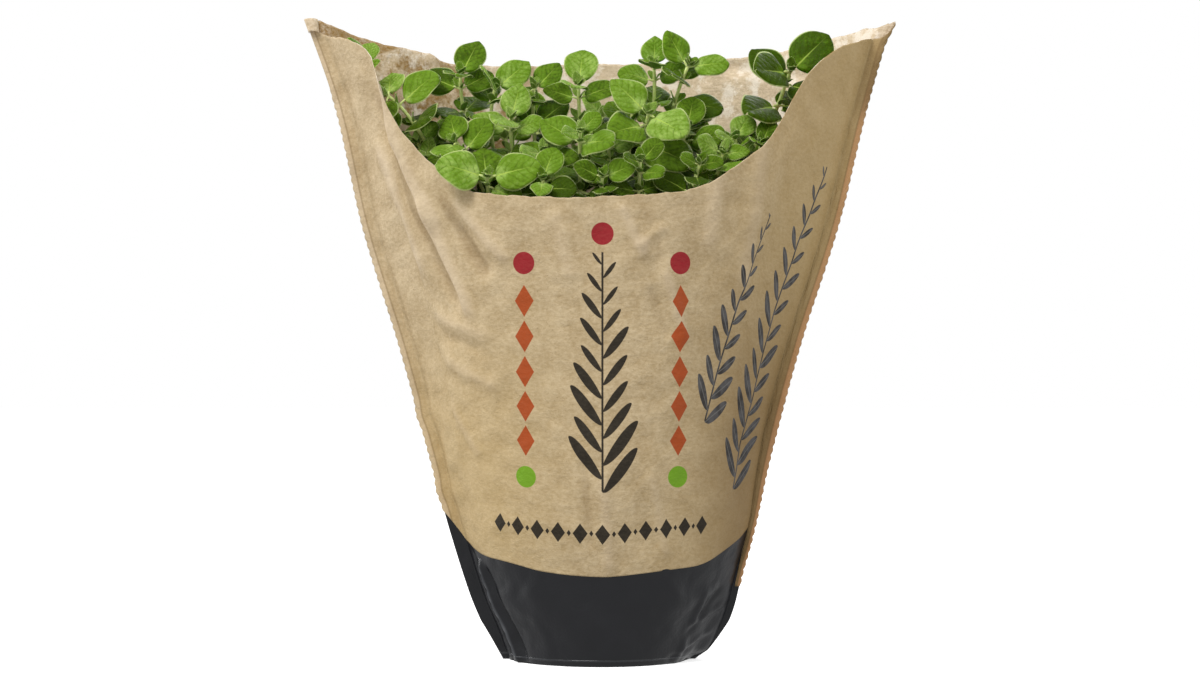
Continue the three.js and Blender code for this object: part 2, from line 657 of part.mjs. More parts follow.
const stems = [...FRONT_STEMS, ...backStems()].map((entry) => {
  const curve = stemCurve(entry);
  return { ...entry, curve, solid: stemSolid(curve, entry.pairs), leaves: [] };
});
const front = paperPanel(-1, frontEdge, 10);
const back = paperPanel(1, backEdge, 10);
const cup = filmCup();
const pot = potSolid();
const soil = soilSolid(stems);

addNode("sleeve_front", front, MATERIALS.kraft);
addNode("sleeve_back", back, MATERIALS.kraft);
addNode("sleeve_film_base", cup, MATERIALS.film);
addNode("nursery_pot", pot, MATERIALS.pot);
addNode("potting_mix", soil, MATERIALS.soil);

growLeaves(stems, [front, back, cup, pot, soil]);
stems.forEach((stem, i) => {
  const whole = wasm.Manifold.union([stem.solid, ...stem.leaves]);
  addNode(`leafy_stem_${String(i + 1).padStart(2, "0")}`, whole, MATERIALS.leaf);
});

export default plant;
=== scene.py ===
"""The looks of a potted oregano plant in its kraft paper sleeve.

The pot and its mix are shown as packed. For every other piece this script repeats the formulas that shape
the solid, in millimetres, and builds a finer mesh: thin crumpled paper and film, veined leaves on square
stems. Blender's own units are metres, so each mesh is scaled by MM as it is made.
"""

import math
from types import SimpleNamespace

import bpy
import numpy as np
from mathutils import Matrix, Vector, geometry
from mathutils.bvhtree import BVHTree
from mathutils.kdtree import KDTree


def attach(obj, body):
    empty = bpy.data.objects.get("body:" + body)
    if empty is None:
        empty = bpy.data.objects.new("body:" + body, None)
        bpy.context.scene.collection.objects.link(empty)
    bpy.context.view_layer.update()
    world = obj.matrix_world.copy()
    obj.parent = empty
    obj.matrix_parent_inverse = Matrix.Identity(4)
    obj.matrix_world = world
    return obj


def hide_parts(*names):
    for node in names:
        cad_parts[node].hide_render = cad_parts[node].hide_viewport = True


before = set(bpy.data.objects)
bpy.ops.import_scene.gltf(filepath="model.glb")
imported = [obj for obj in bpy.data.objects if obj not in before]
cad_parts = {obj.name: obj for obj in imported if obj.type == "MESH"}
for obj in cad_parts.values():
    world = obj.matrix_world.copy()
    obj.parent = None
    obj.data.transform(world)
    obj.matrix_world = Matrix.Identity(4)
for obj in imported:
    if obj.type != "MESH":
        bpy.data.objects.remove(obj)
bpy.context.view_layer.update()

MM = 0.001
FLAT_UNIT = 100  # mm in one unit of the "Flat" map
BLADE_MAP = 100  # a leaf's flat map gives places in hundredths of its length
OUTER, INNER = 0, 1  # the paper's material slots
UPPER, UNDER, SKIN, HAIR = 0, 1, 2, 3  # the plant's material slots

# ---- The sleeve's form, as in the part's source

FIN_WIDTH = 6.5
FIN_WIDTH_AT_BASE = 3
FIN_TAPER_HEIGHT = 18
TIP_HEIGHT = 299
BACK_EDGE_HEIGHT = 282

# Cross-sections: height, the seams' distances from the axis, the panels' depth, half the arc they sweep.
SECTIONS = {
    "z": [0, 12, 30, 60, 90, 145, 200, 255, 300],
    "left": [41, 45.5, 53, 62.5, 70.5, 85.5, 102.5, 115, 130.5],
    "right": [42, 49, 57, 66, 72.5, 87, 104.5, 118, 130.5],
    "depth": [41, 43, 46, 51, 55.5, 60, 64.5, 70.5, 75],
    "sweep": [1.52, 1.48, 1.42, 1.36, 1.3, 1.2, 1.1, 1.05, 1.03],
}
# The scooped edge of the front panel and the film's upper edge, against the share of the way to a seam.
SCOOP = {
    "at": [0, 0.33, 0.44, 0.55, 0.63, 0.68, 0.72, 0.76, 0.81, 0.88, 1],
    "z": [212, 214.5, 218, 228, 236.5, 245, 258, 271, 281, 286.5, 289.5],
}
SCOOP_TOP = SCOOP["z"][-1]
SCOOP_SHIFT = 0.09
FILM_EDGE = {
    "at": [-2, -1, -0.77, -0.52, -0.31, 0, 0.3, 0.56, 0.7, 0.9, 1, 2],
    "z": [69, 55.5, 50, 47, 43.5, 41.3, 42.5, 43.8, 45.7, 50.5, 54, 62],
}
# Where the film's edge here stands higher than the solid's: soft steps by start, length and height.
FILM_RISES = [(0, 0.45, 1.2), (0.55, 0.45, 5.7)]


def ease(x):
    """From 0 to 1, starting and ending softly."""
    x = np.clip(x, 0, 1)
    return x * x * (3 - 2 * x)


def steps(x, rows):
    """The sum of soft steps, each given by where it starts, the length that it takes, and its height."""
    return sum(height * ease((x - start) / length) for start, length, height in rows)


def along(rows, coordinate, key, at):
    """A smooth curve through rows of values: the value of key where the rows' own coordinate is at."""
    xs, ys = np.array(rows[coordinate], float), np.array(rows[key], float)
    last = len(xs) - 1
    before, after = np.maximum(np.arange(last + 1) - 1, 0), np.minimum(np.arange(last + 1) + 1, last)
    slopes = (ys[after] - ys[before]) / (xs[after] - xs[before])
    x = np.clip(at, xs[0], xs[-1])
    i = np.clip(np.searchsorted(xs, x) - 1, 0, last - 1)
    span = xs[i + 1] - xs[i]
    t = (x - xs[i]) / span
    start, end = ys[i] * (2 * t**3 - 3 * t**2 + 1), ys[i + 1] * (3 * t**2 - 2 * t**3)
    return start + end + span * (slopes[i] * (t**3 - 2 * t**2 + t) + slopes[i + 1] * (t**3 - t**2))


def fin_width(z):
    return FIN_WIDTH_AT_BASE + (FIN_WIDTH - FIN_WIDTH_AT_BASE) * np.minimum(z / FIN_TAPER_HEIGHT, 1)


def sleeve_surface(f, z, face, seam_offset):
    """Points of a panel's sheet. f runs from -1 at the left seam to 1 at the right one, and on to -2 and 2
    at the fins' outer edges. face is -1 for the front and 1 for the back."""
    side = np.where(f < 0, -1.0, 1.0)
    left, right, sweep, depth = (along(SECTIONS, "z", key, z) for key in ("left", "right", "sweep", "depth"))
    seam = np.where(f < 0, left, right)
    inner = np.clip(f, -1, 1)
    out = np.maximum(np.abs(f) - 1, 0) * fin_width(z)
    x = seam * np.sin(sweep * np.abs(inner)) / np.sin(sweep) + out
    y = depth * (np.cos(sweep * inner) - np.cos(sweep)) / (1 - np.cos(sweep))
    return np.stack([side * x, face * (seam_offset + y), z + 0 * f], -1)


def film_edge(f):
    """The film's upper edge, which climbs a little further towards the right seam than the solid's does."""
    return along(FILM_EDGE, "at", "z", f) + steps(f, FILM_RISES)


def front_edge(f):
    across = np.minimum(np.abs(f), 1)
    scoop = along(SCOOP, "at", "z", np.abs(f + SCOOP_SHIFT * (1 - f * f)))
    fin = SCOOP_TOP + (TIP_HEIGHT - SCOOP_TOP) * (np.abs(f) - 1)
    return np.where(across < 1, scoop, fin)


def back_edge(f):
    at_seam = TIP_HEIGHT - 2
    panel = BACK_EDGE_HEIGHT + (at_seam - BACK_EDGE_HEIGHT) * np.minimum(np.abs(f), 1) ** 2.6
    return panel + (TIP_HEIGHT - at_seam) * np.maximum(np.abs(f) - 1, 0)


# ---- Meshes


class Parts:
    """Collects the faces of one piece, with what its materials read: a flat map, in mm or in hundredths of
    a leaf's length, and three marks. "rim" grows to 1 at a leaf's edge or a fin's, "tone" is a plant's green
    or the paper's side, left or right, and "crest" runs from -1 in a fold's valley to 1 on its ridge."""

    def __init__(self):
        self.points, self.faces, self.slots, self.flat, self.marks = [], [], [], [], []
        self.count = 0

    def add(self, points, faces, slots=0, flat=None, marks=(0, 0, 0)):
        size = len(points)
        self.points.append(points)
        self.faces.append(np.asarray(faces) + self.count)
        self.slots.append(np.broadcast_to(slots, len(faces)))
        self.flat.append(np.zeros((size, 2)) if flat is None else flat)
        self.marks.append(np.broadcast_to(np.asarray(marks, float), (size, 3)))
        self.count += size

    def add_sheet(self, middle, half, slots, flat, marks=(0, 0, 0)):
        """Adds a closed sheet about a grid of middle points, half its thickness to each side of them. The
        slots are those of its upper face, its lower face and its edge."""
        rows, columns = middle.shape[:2]
        size = rows * columns
        offset = grid_normals(middle) * half
        face, around = quads(rows, columns, False), border(rows, columns)
        onward = np.roll(around, -1)
        edge = np.stack([onward, around, around + size, onward + size], -1)
        points = np.concatenate([side.reshape(-1, 3) for side in (middle + offset, middle - offset)])
        faces = np.concatenate([face, face[:, ::-1] + size, edge])
        values = np.broadcast_arrays(*flat, *marks, middle[..., 0])[:-1]
        values = np.tile(np.stack(values, -1).reshape(size, -1), (2, 1))
        slots = np.repeat(slots, [len(face), len(face), len(edge)])
        self.add(points, faces, slots, values[:, :2], values[:, 2:])

    def build(self, name, materials, node):
        """Makes the object, and lets it stand for the CAD node named."""
        points = np.concatenate(self.points) * MM
        faces = [face for block in self.faces for face in block.tolist()]
        mesh = bpy.data.meshes.new(name)
        mesh.from_pydata(points.tolist(), [], faces)
        corners = np.concatenate([block.ravel() for block in self.faces])
        flat = np.concatenate(self.flat)[corners].astype(np.float32).ravel()
        mesh.uv_layers.new(name="Flat").data.foreach_set("uv", flat / FLAT_UNIT)
        marks = np.concatenate(self.marks).astype(np.float32)
        for i, mark in enumerate(("rim", "tone", "crest")):
            attribute = mesh.attributes.new(mark, "FLOAT", "POINT")
            attribute.data.foreach_set("value", np.ascontiguousarray(marks[:, i]))
        for material in materials:
            mesh.materials.append(material)
        mesh.polygons.foreach_set("material_index", np.concatenate(self.slots).astype(np.int32))
        mesh.polygons.foreach_set("use_smooth", np.ones(len(faces), bool))
        mesh.update()
        piece = add_object(name, mesh)
        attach(piece, "root")
        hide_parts(node)


def add_object(name, data):
    added = bpy.data.objects.new(name, data)
    bpy.context.scene.collection.objects.link(added)
    return added


def quads(rows, columns, closed):
    """Four-sided faces between the neighbours of a grid of corners. Each row of a closed grid is a ring."""
    first = np.arange((rows - 1) * columns).reshape(-1, columns)
    onward = np.roll(first, -1, axis=1)
    faces = np.stack([first, onward, onward + columns, first + columns], -1)
    return (faces if closed else faces[:, :-1]).reshape(-1, 4)


def border(rows, columns):
    """The corners round the outside of a grid, in order."""
    bottom, top = np.arange(columns - 1), rows * columns - 1 - np.arange(columns - 1)
    right = columns - 1 + columns * np.arange(rows - 1)
    left = columns * (rows - 1 - np.arange(rows - 1))
    return np.concatenate([bottom, right, top, left])


def grid_normals(points):
    across, up = np.gradient(points, axis=1), np.gradient(points, axis=0)
    normals = np.cross(across, up)
    return normals / np.maximum(np.linalg.norm(normals, axis=-1, keepdims=True), 1e-9)


# ---- Crumples and folds


def facets(seed, spacing, height):
    """A sheet crumpled into flat facets: a function that gives its height at flat points, in mm."""
    random = np.random.default_rng(seed)
    half_width, tall = 175, 330
    columns, rows = int(2 * half_width / spacing) + 1, int(tall / spacing) + 1
    u, v = np.meshgrid(np.linspace(-half_width, half_width, columns), np.linspace(-15, tall, rows))
    corners = np.stack([u.ravel(), v.ravel()], -1) + random.uniform(-0.42, 0.42, (u.size, 2)) * spacing
    found = geometry.delaunay_2d_cdt([Vector(c) for c in corners], [], [], 0, 1e-6)
    heights = random.uniform(-height, height, len(found[0]))
    tree = BVHTree.FromPolygons([(c.x, c.y, h) for c, h in zip(found[0], heights)], found[2])

    def at(u, v):
        hits = (tree.ray_cast((a, b, 100), (0, 0, -1))[0] for a, b in zip(u.ravel(), v.ravel()))
        return np.array([hit.z if hit else 0 for hit in hits]).reshape(u.shape)

    return at


def fold(u, v, start, end, width, height):
    """A soft ridge, or a valley where height is below 0, along a straight line between two flat points."""
    (u0, v0), (u1, v1) = start, end
    length = math.hypot(u1 - u0, v1 - v0)
    on = ((u - u0) * (u1 - u0) + (v - v0) * (v1 - v0)) / length**2
    off = ((u - u0) * (v1 - v0) - (v - v0) * (u1 - u0)) / length
    return height * np.exp(-((off / width) ** 2)) * ease(on * 5 + 0.5) * ease((1 - on) * 5 + 0.5)


def paper_crumples(seed):
    """The paper's crumples, coarse and fine: a function that gives their height at flat points, in mm."""
    layers = [facets(seed + 2 * i, *size) for i, size in enumerate(PAPER_FACETS)]

    def at(u, v):
        return sum(layer(u, v) for layer in layers)

    return at


def softened(values):
    """A grid of values, each made the mean of itself and its four neighbours."""
    padded = np.pad(values, 1, mode="edge")
    return (values + padded[2:, 1:-1] + padded[:-2, 1:-1] + padded[1:-1, 2:] + padded[1:-1, :-2]) / 5


# ---- The sleeve's pieces

PAPER = 0.35  # thickness of the paper and the film, which are thicker in the solids
SEAM_OFFSET = 0.45  # half the distance between the two papers of a fin
FILM_SEAM_OFFSET = 0.12  # and of its two films, which lie between them
FILM_OVERLAP = 2.5  # how far the film runs up under the paper
FILM_FOOT = 0.2  # height of the film's lower edge
PAPER_FACETS = [(27, 1.5), (10, 0.32)]  # the paper's crumples: spacing, height
FILM_FACETS = (17, 1.5)  # and the film's own
FULL_CREST = 2.6  # a fold this high is marked in full
CREASED_BELOW = 36  # the film's own crumples lie below this height
FIN_WAVES = [(0.7, 13, 1), (0.4, 5.3, 2)]  # height, length / 2 pi, and the side's share in where they start
FRONT_ROWS, BACK_ROWS, FILM_ROWS = 262, 200, 66  # rows of faces from a sheet's lower edge to its upper one
FLOOR_RINGS, FLOOR_HEIGHT = (1, 0.97, 0.6, 0.02), 0.1  # the film's floor: shares of its outline, height
PLANT_FROM = 190  # above this the paper keeps off the leaves
KEEP_OFF, DEEPEST = 0.4, -0.3  # how far it moves out there, and how deep its crumples still go
BULGES, BULGE, BULGE_REACH = (113, 78), 0.9, 5  # heights of two small bulges of the left fin, their size
FOOT_SLACK, CORNER_SLACK, TOP_SLACK = 3.4, 2.6, 2.2  # how far the right side stands out beyond the solid
SCALLOP = 3.8  # pitch of the fins' scalloped edge
SCALLOP_DEPTH = 0.7
TAIL = 27  # how far the front paper runs down over the film on the right fin
SHOULDER, TIP_DROP = 11.5, 2.5  # how much higher the front's left shoulder is, and both left tips lower
FRONT_DIPS = [(0.68, 0.09, 3), (0.82, 0.15, -1.8)]  # soft steps of its edge at the right: down, up again
CURL_HEIGHT, CURL_RADIUS, CURL_TAPER = 6, 3.1, 0.14
CURL_AXIS = (-133.4, -1.1, 297.2)  # at its top
CURL_TURN = (3.5, -0.7)  # from and to, in radians
PRINT_LEVEL, PRINT_BLEND = 135, 90  # below this height the print's lines bend with the film's edge

# Folds of the front panel that catch the eye: from and to (flat mm), half the width, height.
FRONT_FOLDS = [
    ((-138, 284), (-116, 236), 6, 2.4),
    ((-124, 250), (-82, 200), 5, 2.8),
    ((-143, 262), (-96, 202), 4.5, -2.8),
    ((-141, 238), (-96, 180), 5, 2.2),
    ((-92, 212), (-62, 160), 4, 2.6),
    ((-99, 206), (-70, 164), 3.5, -2.4),
    ((-80, 214), (-52, 178), 3.5, -2.8),
    ((-70, 212), (-42, 184), 3, 1.8),
    ((-92, 160), (-52, 150), 4, 1.3),
    ((-90, 152), (-58, 144), 3, -0.9),
    ((-84, 140), (-48, 127), 4, 1.2),
    ((-80, 118), (-60, 96), 3, 1.2),
    ((10, 209), (21, 186), 3, 1.8),
    ((18, 190), (30, 200), 2.4, 1.5),
    ((22, 206), (30, 184), 2.6, -1.3),
    ((30, 180), (41, 148), 3, 1.8),
    ((24, 172), (32, 150), 2.6, -1.3),
    ((-20, 206), (-12, 176), 5, 1.2),
    ((2, 88), (5, 44), 3, 1.5),
    ((-6, 96), (-3, 56), 2.5, -1.4),
    ((24, 88), (32, 50), 3, 1.2),
    ((60, 250), (52, 190), 6, 1.6),
    ((84, 240), (74, 170), 6, 1.4),
]
FILM_FOLDS = [
    ((-76, 50), (-56, 2), 1.6, -2.2),
    ((-67, 46), (-44, 0), 1.3, 2.6),
    ((-62, 42), (-40, 3), 1.5, -2.2),
    ((-58, 36), (-48, 12), 1.2, 1.2),
    ((-34, 36), (-2, 12), 9, 1.3),
    ((4, 12), (40, 36), 10, 1.3),
    ((58, 34), (42, 2), 2, 0.9),
    ((68, 34), (46, 12), 1.6, -1.0),
    ((72, 26), (50, 18), 1.5, 0.9),
    ((66, 14), (42, 5), 1.5, 0.8),
    ((56, 8), (36, 3), 1.2, -0.7),
]
BACK_FOLDS = [
    ((-128, 270), (-62, 280), 4, 2.2),
    ((-118, 262), (-66, 270), 3, -1.8),
    ((-62, 288), (-52, 240), 4, -1.8),
    ((-84, 262), (-70, 200), 5, 1.8),
    ((60, 276), (80, 200), 6, 1.8),
    ((-70, 240), (-40, 150), 6, 1.6),
    ((-10, 230), (10, 120), 7, 1.4),
    ((30, 200), (50, 90), 6, 1.4),
]

PANEL_COLUMNS = np.concatenate([
    np.linspace(-2, -1, 7)[:-1],
    np.linspace(-1, 1, 121),
    np.linspace(1, 2, 7)[1:],
])


def flat_u(points, columns):
    """How far each point of a grid is from the panel's middle, along its own row."""
    gaps = np.linalg.norm(np.diff(points, axis=1), axis=-1)
    lengths = np.concatenate([np.zeros((len(points), 1)), np.cumsum(gaps, axis=1)], axis=1)
    return lengths - lengths[:, [np.argmin(np.abs(columns))]]


def side_shift(columns, z):
    """How far the sheet moves to the right: two small bulges of the left fin, and the slack of the right
    side along its foot, at its lowest corner and at its top."""
    bulge = sum(np.exp(-(((z - middle) / BULGE_REACH) ** 2)) for middle in BULGES)
    left = BULGE * bulge * np.clip(-columns - 0.7, 0, 0.3) / 0.3
    rightward = ease((columns - 0.55) / 0.45) * (1 - np.clip(columns - 1, 0, 1))
    foot = FOOT_SLACK * rightward * ease((120 - z) / 70)
    corner = CORNER_SLACK * ease((45 - z) / 30) * np.clip(columns - 0.85, 0, 0.15) / 0.15
    top = TOP_SLACK * ease((z - 284) / 12) * np.clip(columns - 0.8, 0, 0.2) / 0.2
    return (foot + corner) * ease(z / 5) + top - left


def crumpled(points, columns, crumple, folds):
    """The grid pushed in and out square to the sheet, the distance of each point from the middle, and how
    far the folds push it, from -1 to 1. The two sheets of a fin wave together."""
    u, z = flat_u(points, columns), points[..., 2]
    folded = sum(fold(u, z, *line) for line in folds) + 0 * u
    height = softened(crumple(u, z)) + folded
    crest = np.clip(folded / FULL_CREST, -1, 1)
    keep_off = ease((z - PLANT_FROM) / 20)
    height = height + keep_off * (np.maximum(height, DEEPEST) - height + KEEP_OFF)
    inside = ease((1 - np.abs(columns)) / 0.12)
    side = np.sign(columns)
    wave = sum(size * np.sin(z / length + share * side) for size, length, share in FIN_WAVES)
    out = np.clip(np.abs(columns) - 0.8, 0, 1.2)
    moved = points + grid_normals(points) * (height * inside)[..., None]
    moved[..., 1] += wave * out * (1 - inside) * ease(z / 20)
    moved[..., 0] += side_shift(columns, z)
    return moved, u, crest * inside


def scalloped(points, columns, depth):
    """The outer edges of the fins cut to small scallops, but for the left one near its tip."""
    z = points[..., 2]
    edge = np.clip(np.abs(columns) - 1.8, 0, 0.2) / 0.2
    edge = edge * (1 - ease((z - 258) / 10) * (columns < 0))
    points[..., 0] += np.sign(columns) * depth * np.abs(np.sin(math.pi * z / SCALLOP)) * edge
    return points


def print_height(u_share, z):
    """The height of the print that lies at a place, as the paper is wrapped: its lines rise towards the
    seams near the base."""
    rise = film_edge(np.clip(u_share, -1, 1)) - film_edge(np.array(0.0))
    return z - rise * np.clip((PRINT_LEVEL - z) / PRINT_BLEND, 0, 1)


def panel_columns(face):
    return PANEL_COLUMNS if face < 0 else PANEL_COLUMNS[::-1]


def panel(parts, face, edges, row_count, crumple, folds, slots, seam_offset=SEAM_OFFSET, depth=SCALLOP_DEPTH):
    """Adds one panel with its halves of both fins, between its lower and upper edge, to a piece."""
    columns = panel_columns(face)
    share = np.linspace(0, 1, row_count + 1)[:, None]
    low, high = (edge(columns) for edge in edges)
    z = low + (high - low) * share
    middle = sleeve_surface(columns + 0 * z, z, face, seam_offset)
    middle, u, crest = crumpled(middle, columns, crumple, folds)
    middle = scalloped(middle, columns, depth)
    fin, right = np.clip(np.abs(columns) - 1, 0, 1), np.where(columns < 0, 0, 1)
    parts.add_sheet(middle, PAPER / 2, slots, (u, print_height(columns + 0 * z, z)), (fin, right, crest))


def add_curl(parts):
    """The small roll that the paper makes at the front panel's left tip, with its pale side out."""
    down = np.linspace(0, CURL_HEIGHT, 9)[:, None]
    turn = np.linspace(*CURL_TURN, 15)[None, :]
    radius = CURL_RADIUS - CURL_TAPER * down
    x = CURL_AXIS[0] + 0.22 * down + radius * np.cos(turn)
    y = CURL_AXIS[1] - radius * np.sin(turn) * (0.75 + 0.04 * down)
    z = CURL_AXIS[2] - down + 0.5 * np.sin(turn)
    parts.add_sheet(np.stack([x, y, z], -1), PAPER / 2, [INNER] * 3, (10 - radius * turn, 150 - down))


def paper_front(crumple, materials):
    """The front panel. Its right fin runs down over the film and tapers out along its edge, and its left
    tip is curled."""

    def low(f):
        return np.where(f > 1, film_edge(1.0) - TAIL * ease((f - 1) / 0.3), film_edge(f))

    def high(f):
        left_shoulder = SHOULDER * ease((-f - 0.76) / 0.03) * np.exp(np.minimum(f + 0.785, 0) / 0.05)
        left_tip = TIP_DROP * np.maximum(-f - 1, 0)
        out = np.clip(f - 1, 0, 1)
        right_tip = (TIP_HEIGHT - SCOOP_TOP) * (out - out**5) + TIP_DROP * out**5
        edge = front_edge(f) + left_shoulder - left_tip - steps(f, FRONT_DIPS) - right_tip
        return edge + 0.2 * np.sin(f * 61) + 0.15 * np.sin(f * 143)

    parts = Parts()
    panel(parts, -1, (low, high), FRONT_ROWS, crumple, FRONT_FOLDS, [OUTER, INNER, INNER])
    add_curl(parts)
    parts.build("kraft_front", materials, "sleeve_front")


def paper_back(crumple, materials):
    """The back panel, whose upper edge dips a little towards both corners."""

    def high(f):
        left_dip = 3.5 * ease((f + 0.565) / 0.045) * ease(-f / 0.55)
        left_tip = TIP_DROP * np.maximum(-f - 1, 0)
        right_dip = 3 * ease((f - 0.915) / 0.075) - 0.5 * np.clip(f - 1, 0, 1)
        edge = back_edge(f) - left_dip - left_tip - right_dip
        return edge + 0.2 * np.sin(f * 47 + 1) + 0.15 * np.sin(f * 131)

    parts = Parts()
    panel(parts, 1, (film_edge, high), BACK_ROWS, crumple, BACK_FOLDS, [OUTER, INNER, INNER])
    parts.build("kraft_back", materials, "sleeve_back")


def film_wall(parts, face, crumple):
    """Adds one wall of the film with its halves of both fins, and returns its lowest points between the
    seams. It shares the paper's crumples, and has its own near the foot."""
    creased = facets(7 + face, *FILM_FACETS)

    def both(u, z):
        return crumple(u, z) + creased(u, z) * ease((CREASED_BELOW - z) / 12)

    def low(f):
        return 0 * f + FILM_FOOT

    def high(f):
        return film_edge(f) + FILM_OVERLAP

    folds = FILM_FOLDS if face < 0 else []
    panel(parts, face, (low, high), FILM_ROWS, both, folds, [OUTER] * 3, FILM_SEAM_OFFSET, 0)
    return parts.points[-1][np.nonzero(np.abs(panel_columns(face)) <= 1)[0]]


def film_base(crumples, material):
    """The film: two walls with their fins, which run up a little under the paper, and a flat floor."""
    parts = Parts()
    ring = np.concatenate([film_wall(parts, face, crumple)[:-1] for face, crumple in zip((-1, 1), crumples)])
    level, up = np.array([1, 1, 0]), np.array([0, 0, FLOOR_HEIGHT])
    centre = ring.mean(0) * level
    circles = [centre + (ring - centre) * share * level + up for share in FLOOR_RINGS]
    parts.add(np.concatenate(circles), quads(len(circles), len(ring), True)[:, ::-1])
    parts.build("film_base", [material], "sleeve_film_base")


# ---- Stems and leaves, as in the part's source

SOIL_TOP = 80
SOIL_BUMP = 1.6
POT_RIM_RADIUS = 52.5
ROOT_SPREAD = (0.38, 0.76)
STEM_FOOT = 12
STEM_RADII = (1.35, 0.75)  # at the foot and at the tip
ATTEMPTS = 9
TO_LIGHT = np.array([0, -1.5, 0.35])
PAIR_LENGTHS = [0.85, 1, 0.95, 0.85]
SAME_PLACE = 0.05  # two points nearer than this are one

# Where each front stem's tip is, the way it leans, its largest leaf, its top pair as a share of that, its
# number of leaf pairs, and the top pair's azimuth in degrees.
FRONT_STEMS = [
    ((-8, -42, 243), (0.1, -1.15), 24, 0.42, 5, 42),
    ((-65, -27, 239), (-0.9, -0.7), 18, 0.9, 4, 72),
    ((-50, -50, 222), (0.1, -1.3), 23, 0.9, 4, 15),
    ((-40, -20, 250), (0.1, -0.7), 17, 0.9, 4, 82),
    ((-9, 0, 267), (0, -0.8), 18, 0.9, 5, 88),
    ((-64, 2, 272), (0.1, -0.7), 19, 0.95, 5, 74),
    ((-48, 5, 266), (0.35, -0.4), 18, 0.95, 5, 32),
    ((-30, 8, 266), (0.1, -0.3), 17, 0.85, 5, 25),
    ((-98, -3, 262), (-1.5, -0.3), 22, 0.85, 4, 75),
    ((-110, 5, 278), (0.1, 0), 12, 0.9, 3, 50),
    ((26, 4, 276), (-0.1, -0.7), 17, 0.8, 5, 85),
    ((42, 0, 276), (0.5, -0.5), 20, 0.8, 5, -8),
    ((23, -31, 252), (0.2, -1.1), 21, 0.9, 5, -30),
    ((89, -9, 273), (0.3, -1), 22, 0.9, 4, 60),
    ((63, -20, 241), (-0.1, -0.6), 15, 0.8, 5, 55),
    ((19, -50, 229), (0, -0.7), 13, 0.8, 4, 35),
    ((46, -45, 228), (0.3, -0.7), 14, 0.6, 4, 15),
    ((-25, -34, 234), (0, -0.8), 19, 0.7, 4, 45),
    ((-84, 4, 240), (-0.4, -0.5), 18, 0.6, 4, 5),
    ((-80, -16, 231), (-0.5, -0.6), 18, 0.5, 4, 40),
    ((5, -28, 236), (0, -0.9), 20, 0.6, 4, 15),
    ((41, -12, 246), (0, -0.7), 20, 0.7, 4, 70),
    ((57, -30, 234), (0.2, -0.7), 17, 0.7, 4, 25),
    ((75, -22, 238), (0.3, -0.6), 18, 0.7, 4, 80),
    ((-25, -51, 221), (0, -1), 17, 0.8, 3, 60),
    ((2, -52, 222), (0.1, -1), 15, 0.8, 3, 20),
]
# Rows behind those: number of stems, y, half the width, z, leaf.
STEM_ROWS = [(6, 27, 74, 254, 20), (5, 49, 54, 256, 20)]
END_DROP = 15
STEM_ROOM = 2.5


def draw(a, b):
    """A repeatable draw from 0 to 1 for a pair of whole numbers, the same as in the part's source."""
    whole = 0xFFFFFFFF
    h = (a * 374761393 + b * 668265263) & whole
    h = ((h ^ (h >> 13)) * 1274126177) & whole
    return (h ^ (h >> 16)) / 2**32


def varied(seed, n, size):
    """A repeatable number between -size and size."""
    return size * (2 * draw(seed, n) - 1)


def unit(vectors):
    return vectors / np.linalg.norm(vectors, axis=-1, keepdims=True)


def soil_top(x, y):
    r = np.hypot(x, y) / POT_RIM_RADIUS
    lumps = np.sin(x * 0.31 + 1.3) * np.cos(y * 0.27 - 0.4) + 0.5 * np.sin(x * 0.71 - y * 0.53)
    return SOIL_TOP + SOIL_BUMP * lumps - 2.5 * r * r


def back_stem(row, i):
    """A stem of a back row, drawn a little away from its even place."""
    count, y, half_width, z, leaf = STEM_ROWS[row]
    seed = 700 + 20 * row + i
    across = 2 * i / (count - 1) - 1
    depth, height = y - 12 * across * across, z - END_DROP * across * across
    room = [varied(seed, n, size) for n, size in ((1, STEM_ROOM), (2, STEM_ROOM), (3, 6))]
    tip = (across * half_width + room[0], depth + room[1], height + room[2])
    lean = (0.35 * across + varied(seed, 4, 0.15), depth / 90 + varied(seed, 5, 0.15))
    return tip, lean, leaf + varied(seed, 6, 2), 0.65, 4, 90 * draw(seed, 7)


def stem_curve(tip, lean):
    """The four control points of a stem's curve, from the potting mix to its tip."""
    foot = np.array([tip[0] * ROOT_SPREAD[0], tip[1] * ROOT_SPREAD[1], 0])
    foot[2] = soil_top(foot[0], foot[1]) + 2
    end = np.array(tip, float)
    reach = end[2] - foot[2]
    way = unit(np.array([lean[0], lean[1], 1]))
    return np.array([foot, foot + [0, 0, reach * 0.3], end - way * reach * 0.2, end])


def curve_point(curve, t):
    weights = np.array([(1 - t) ** 3, 3 * t * (1 - t) ** 2, 3 * t * t * (1 - t), t**3])
    return weights @ curve


def stem_frame(curve, t):
    """The stem's direction at a place along it, and two directions square to that, the first one level."""
    weights = np.array([(1 - t) ** 2, 2 * t * (1 - t), t * t])
    up = unit(weights @ np.diff(curve, axis=0))
    first = unit(np.array([up[2], 0, -up[0]]))
    return up, first, np.cross(up, first)


def pair_place(k):
    return 0.992 - 0.042 * k - 0.0125 * k * k


def all_stems():
    rows = [(row, i) for row, (count, *_) in enumerate(STEM_ROWS) for i in range(count)]
    entries = FRONT_STEMS + [back_stem(row, i) for row, i in rows]
    return [
        SimpleNamespace(index=index, curve=stem_curve(tip, lean), lean=math.hypot(*lean), leaf=leaf, top=top,
                        pairs=pairs, turn=turn, node=f"leafy_stem_{index + 1:02d}")
        for index, (tip, lean, leaf, top, pairs, turn) in enumerate(entries)
    ]


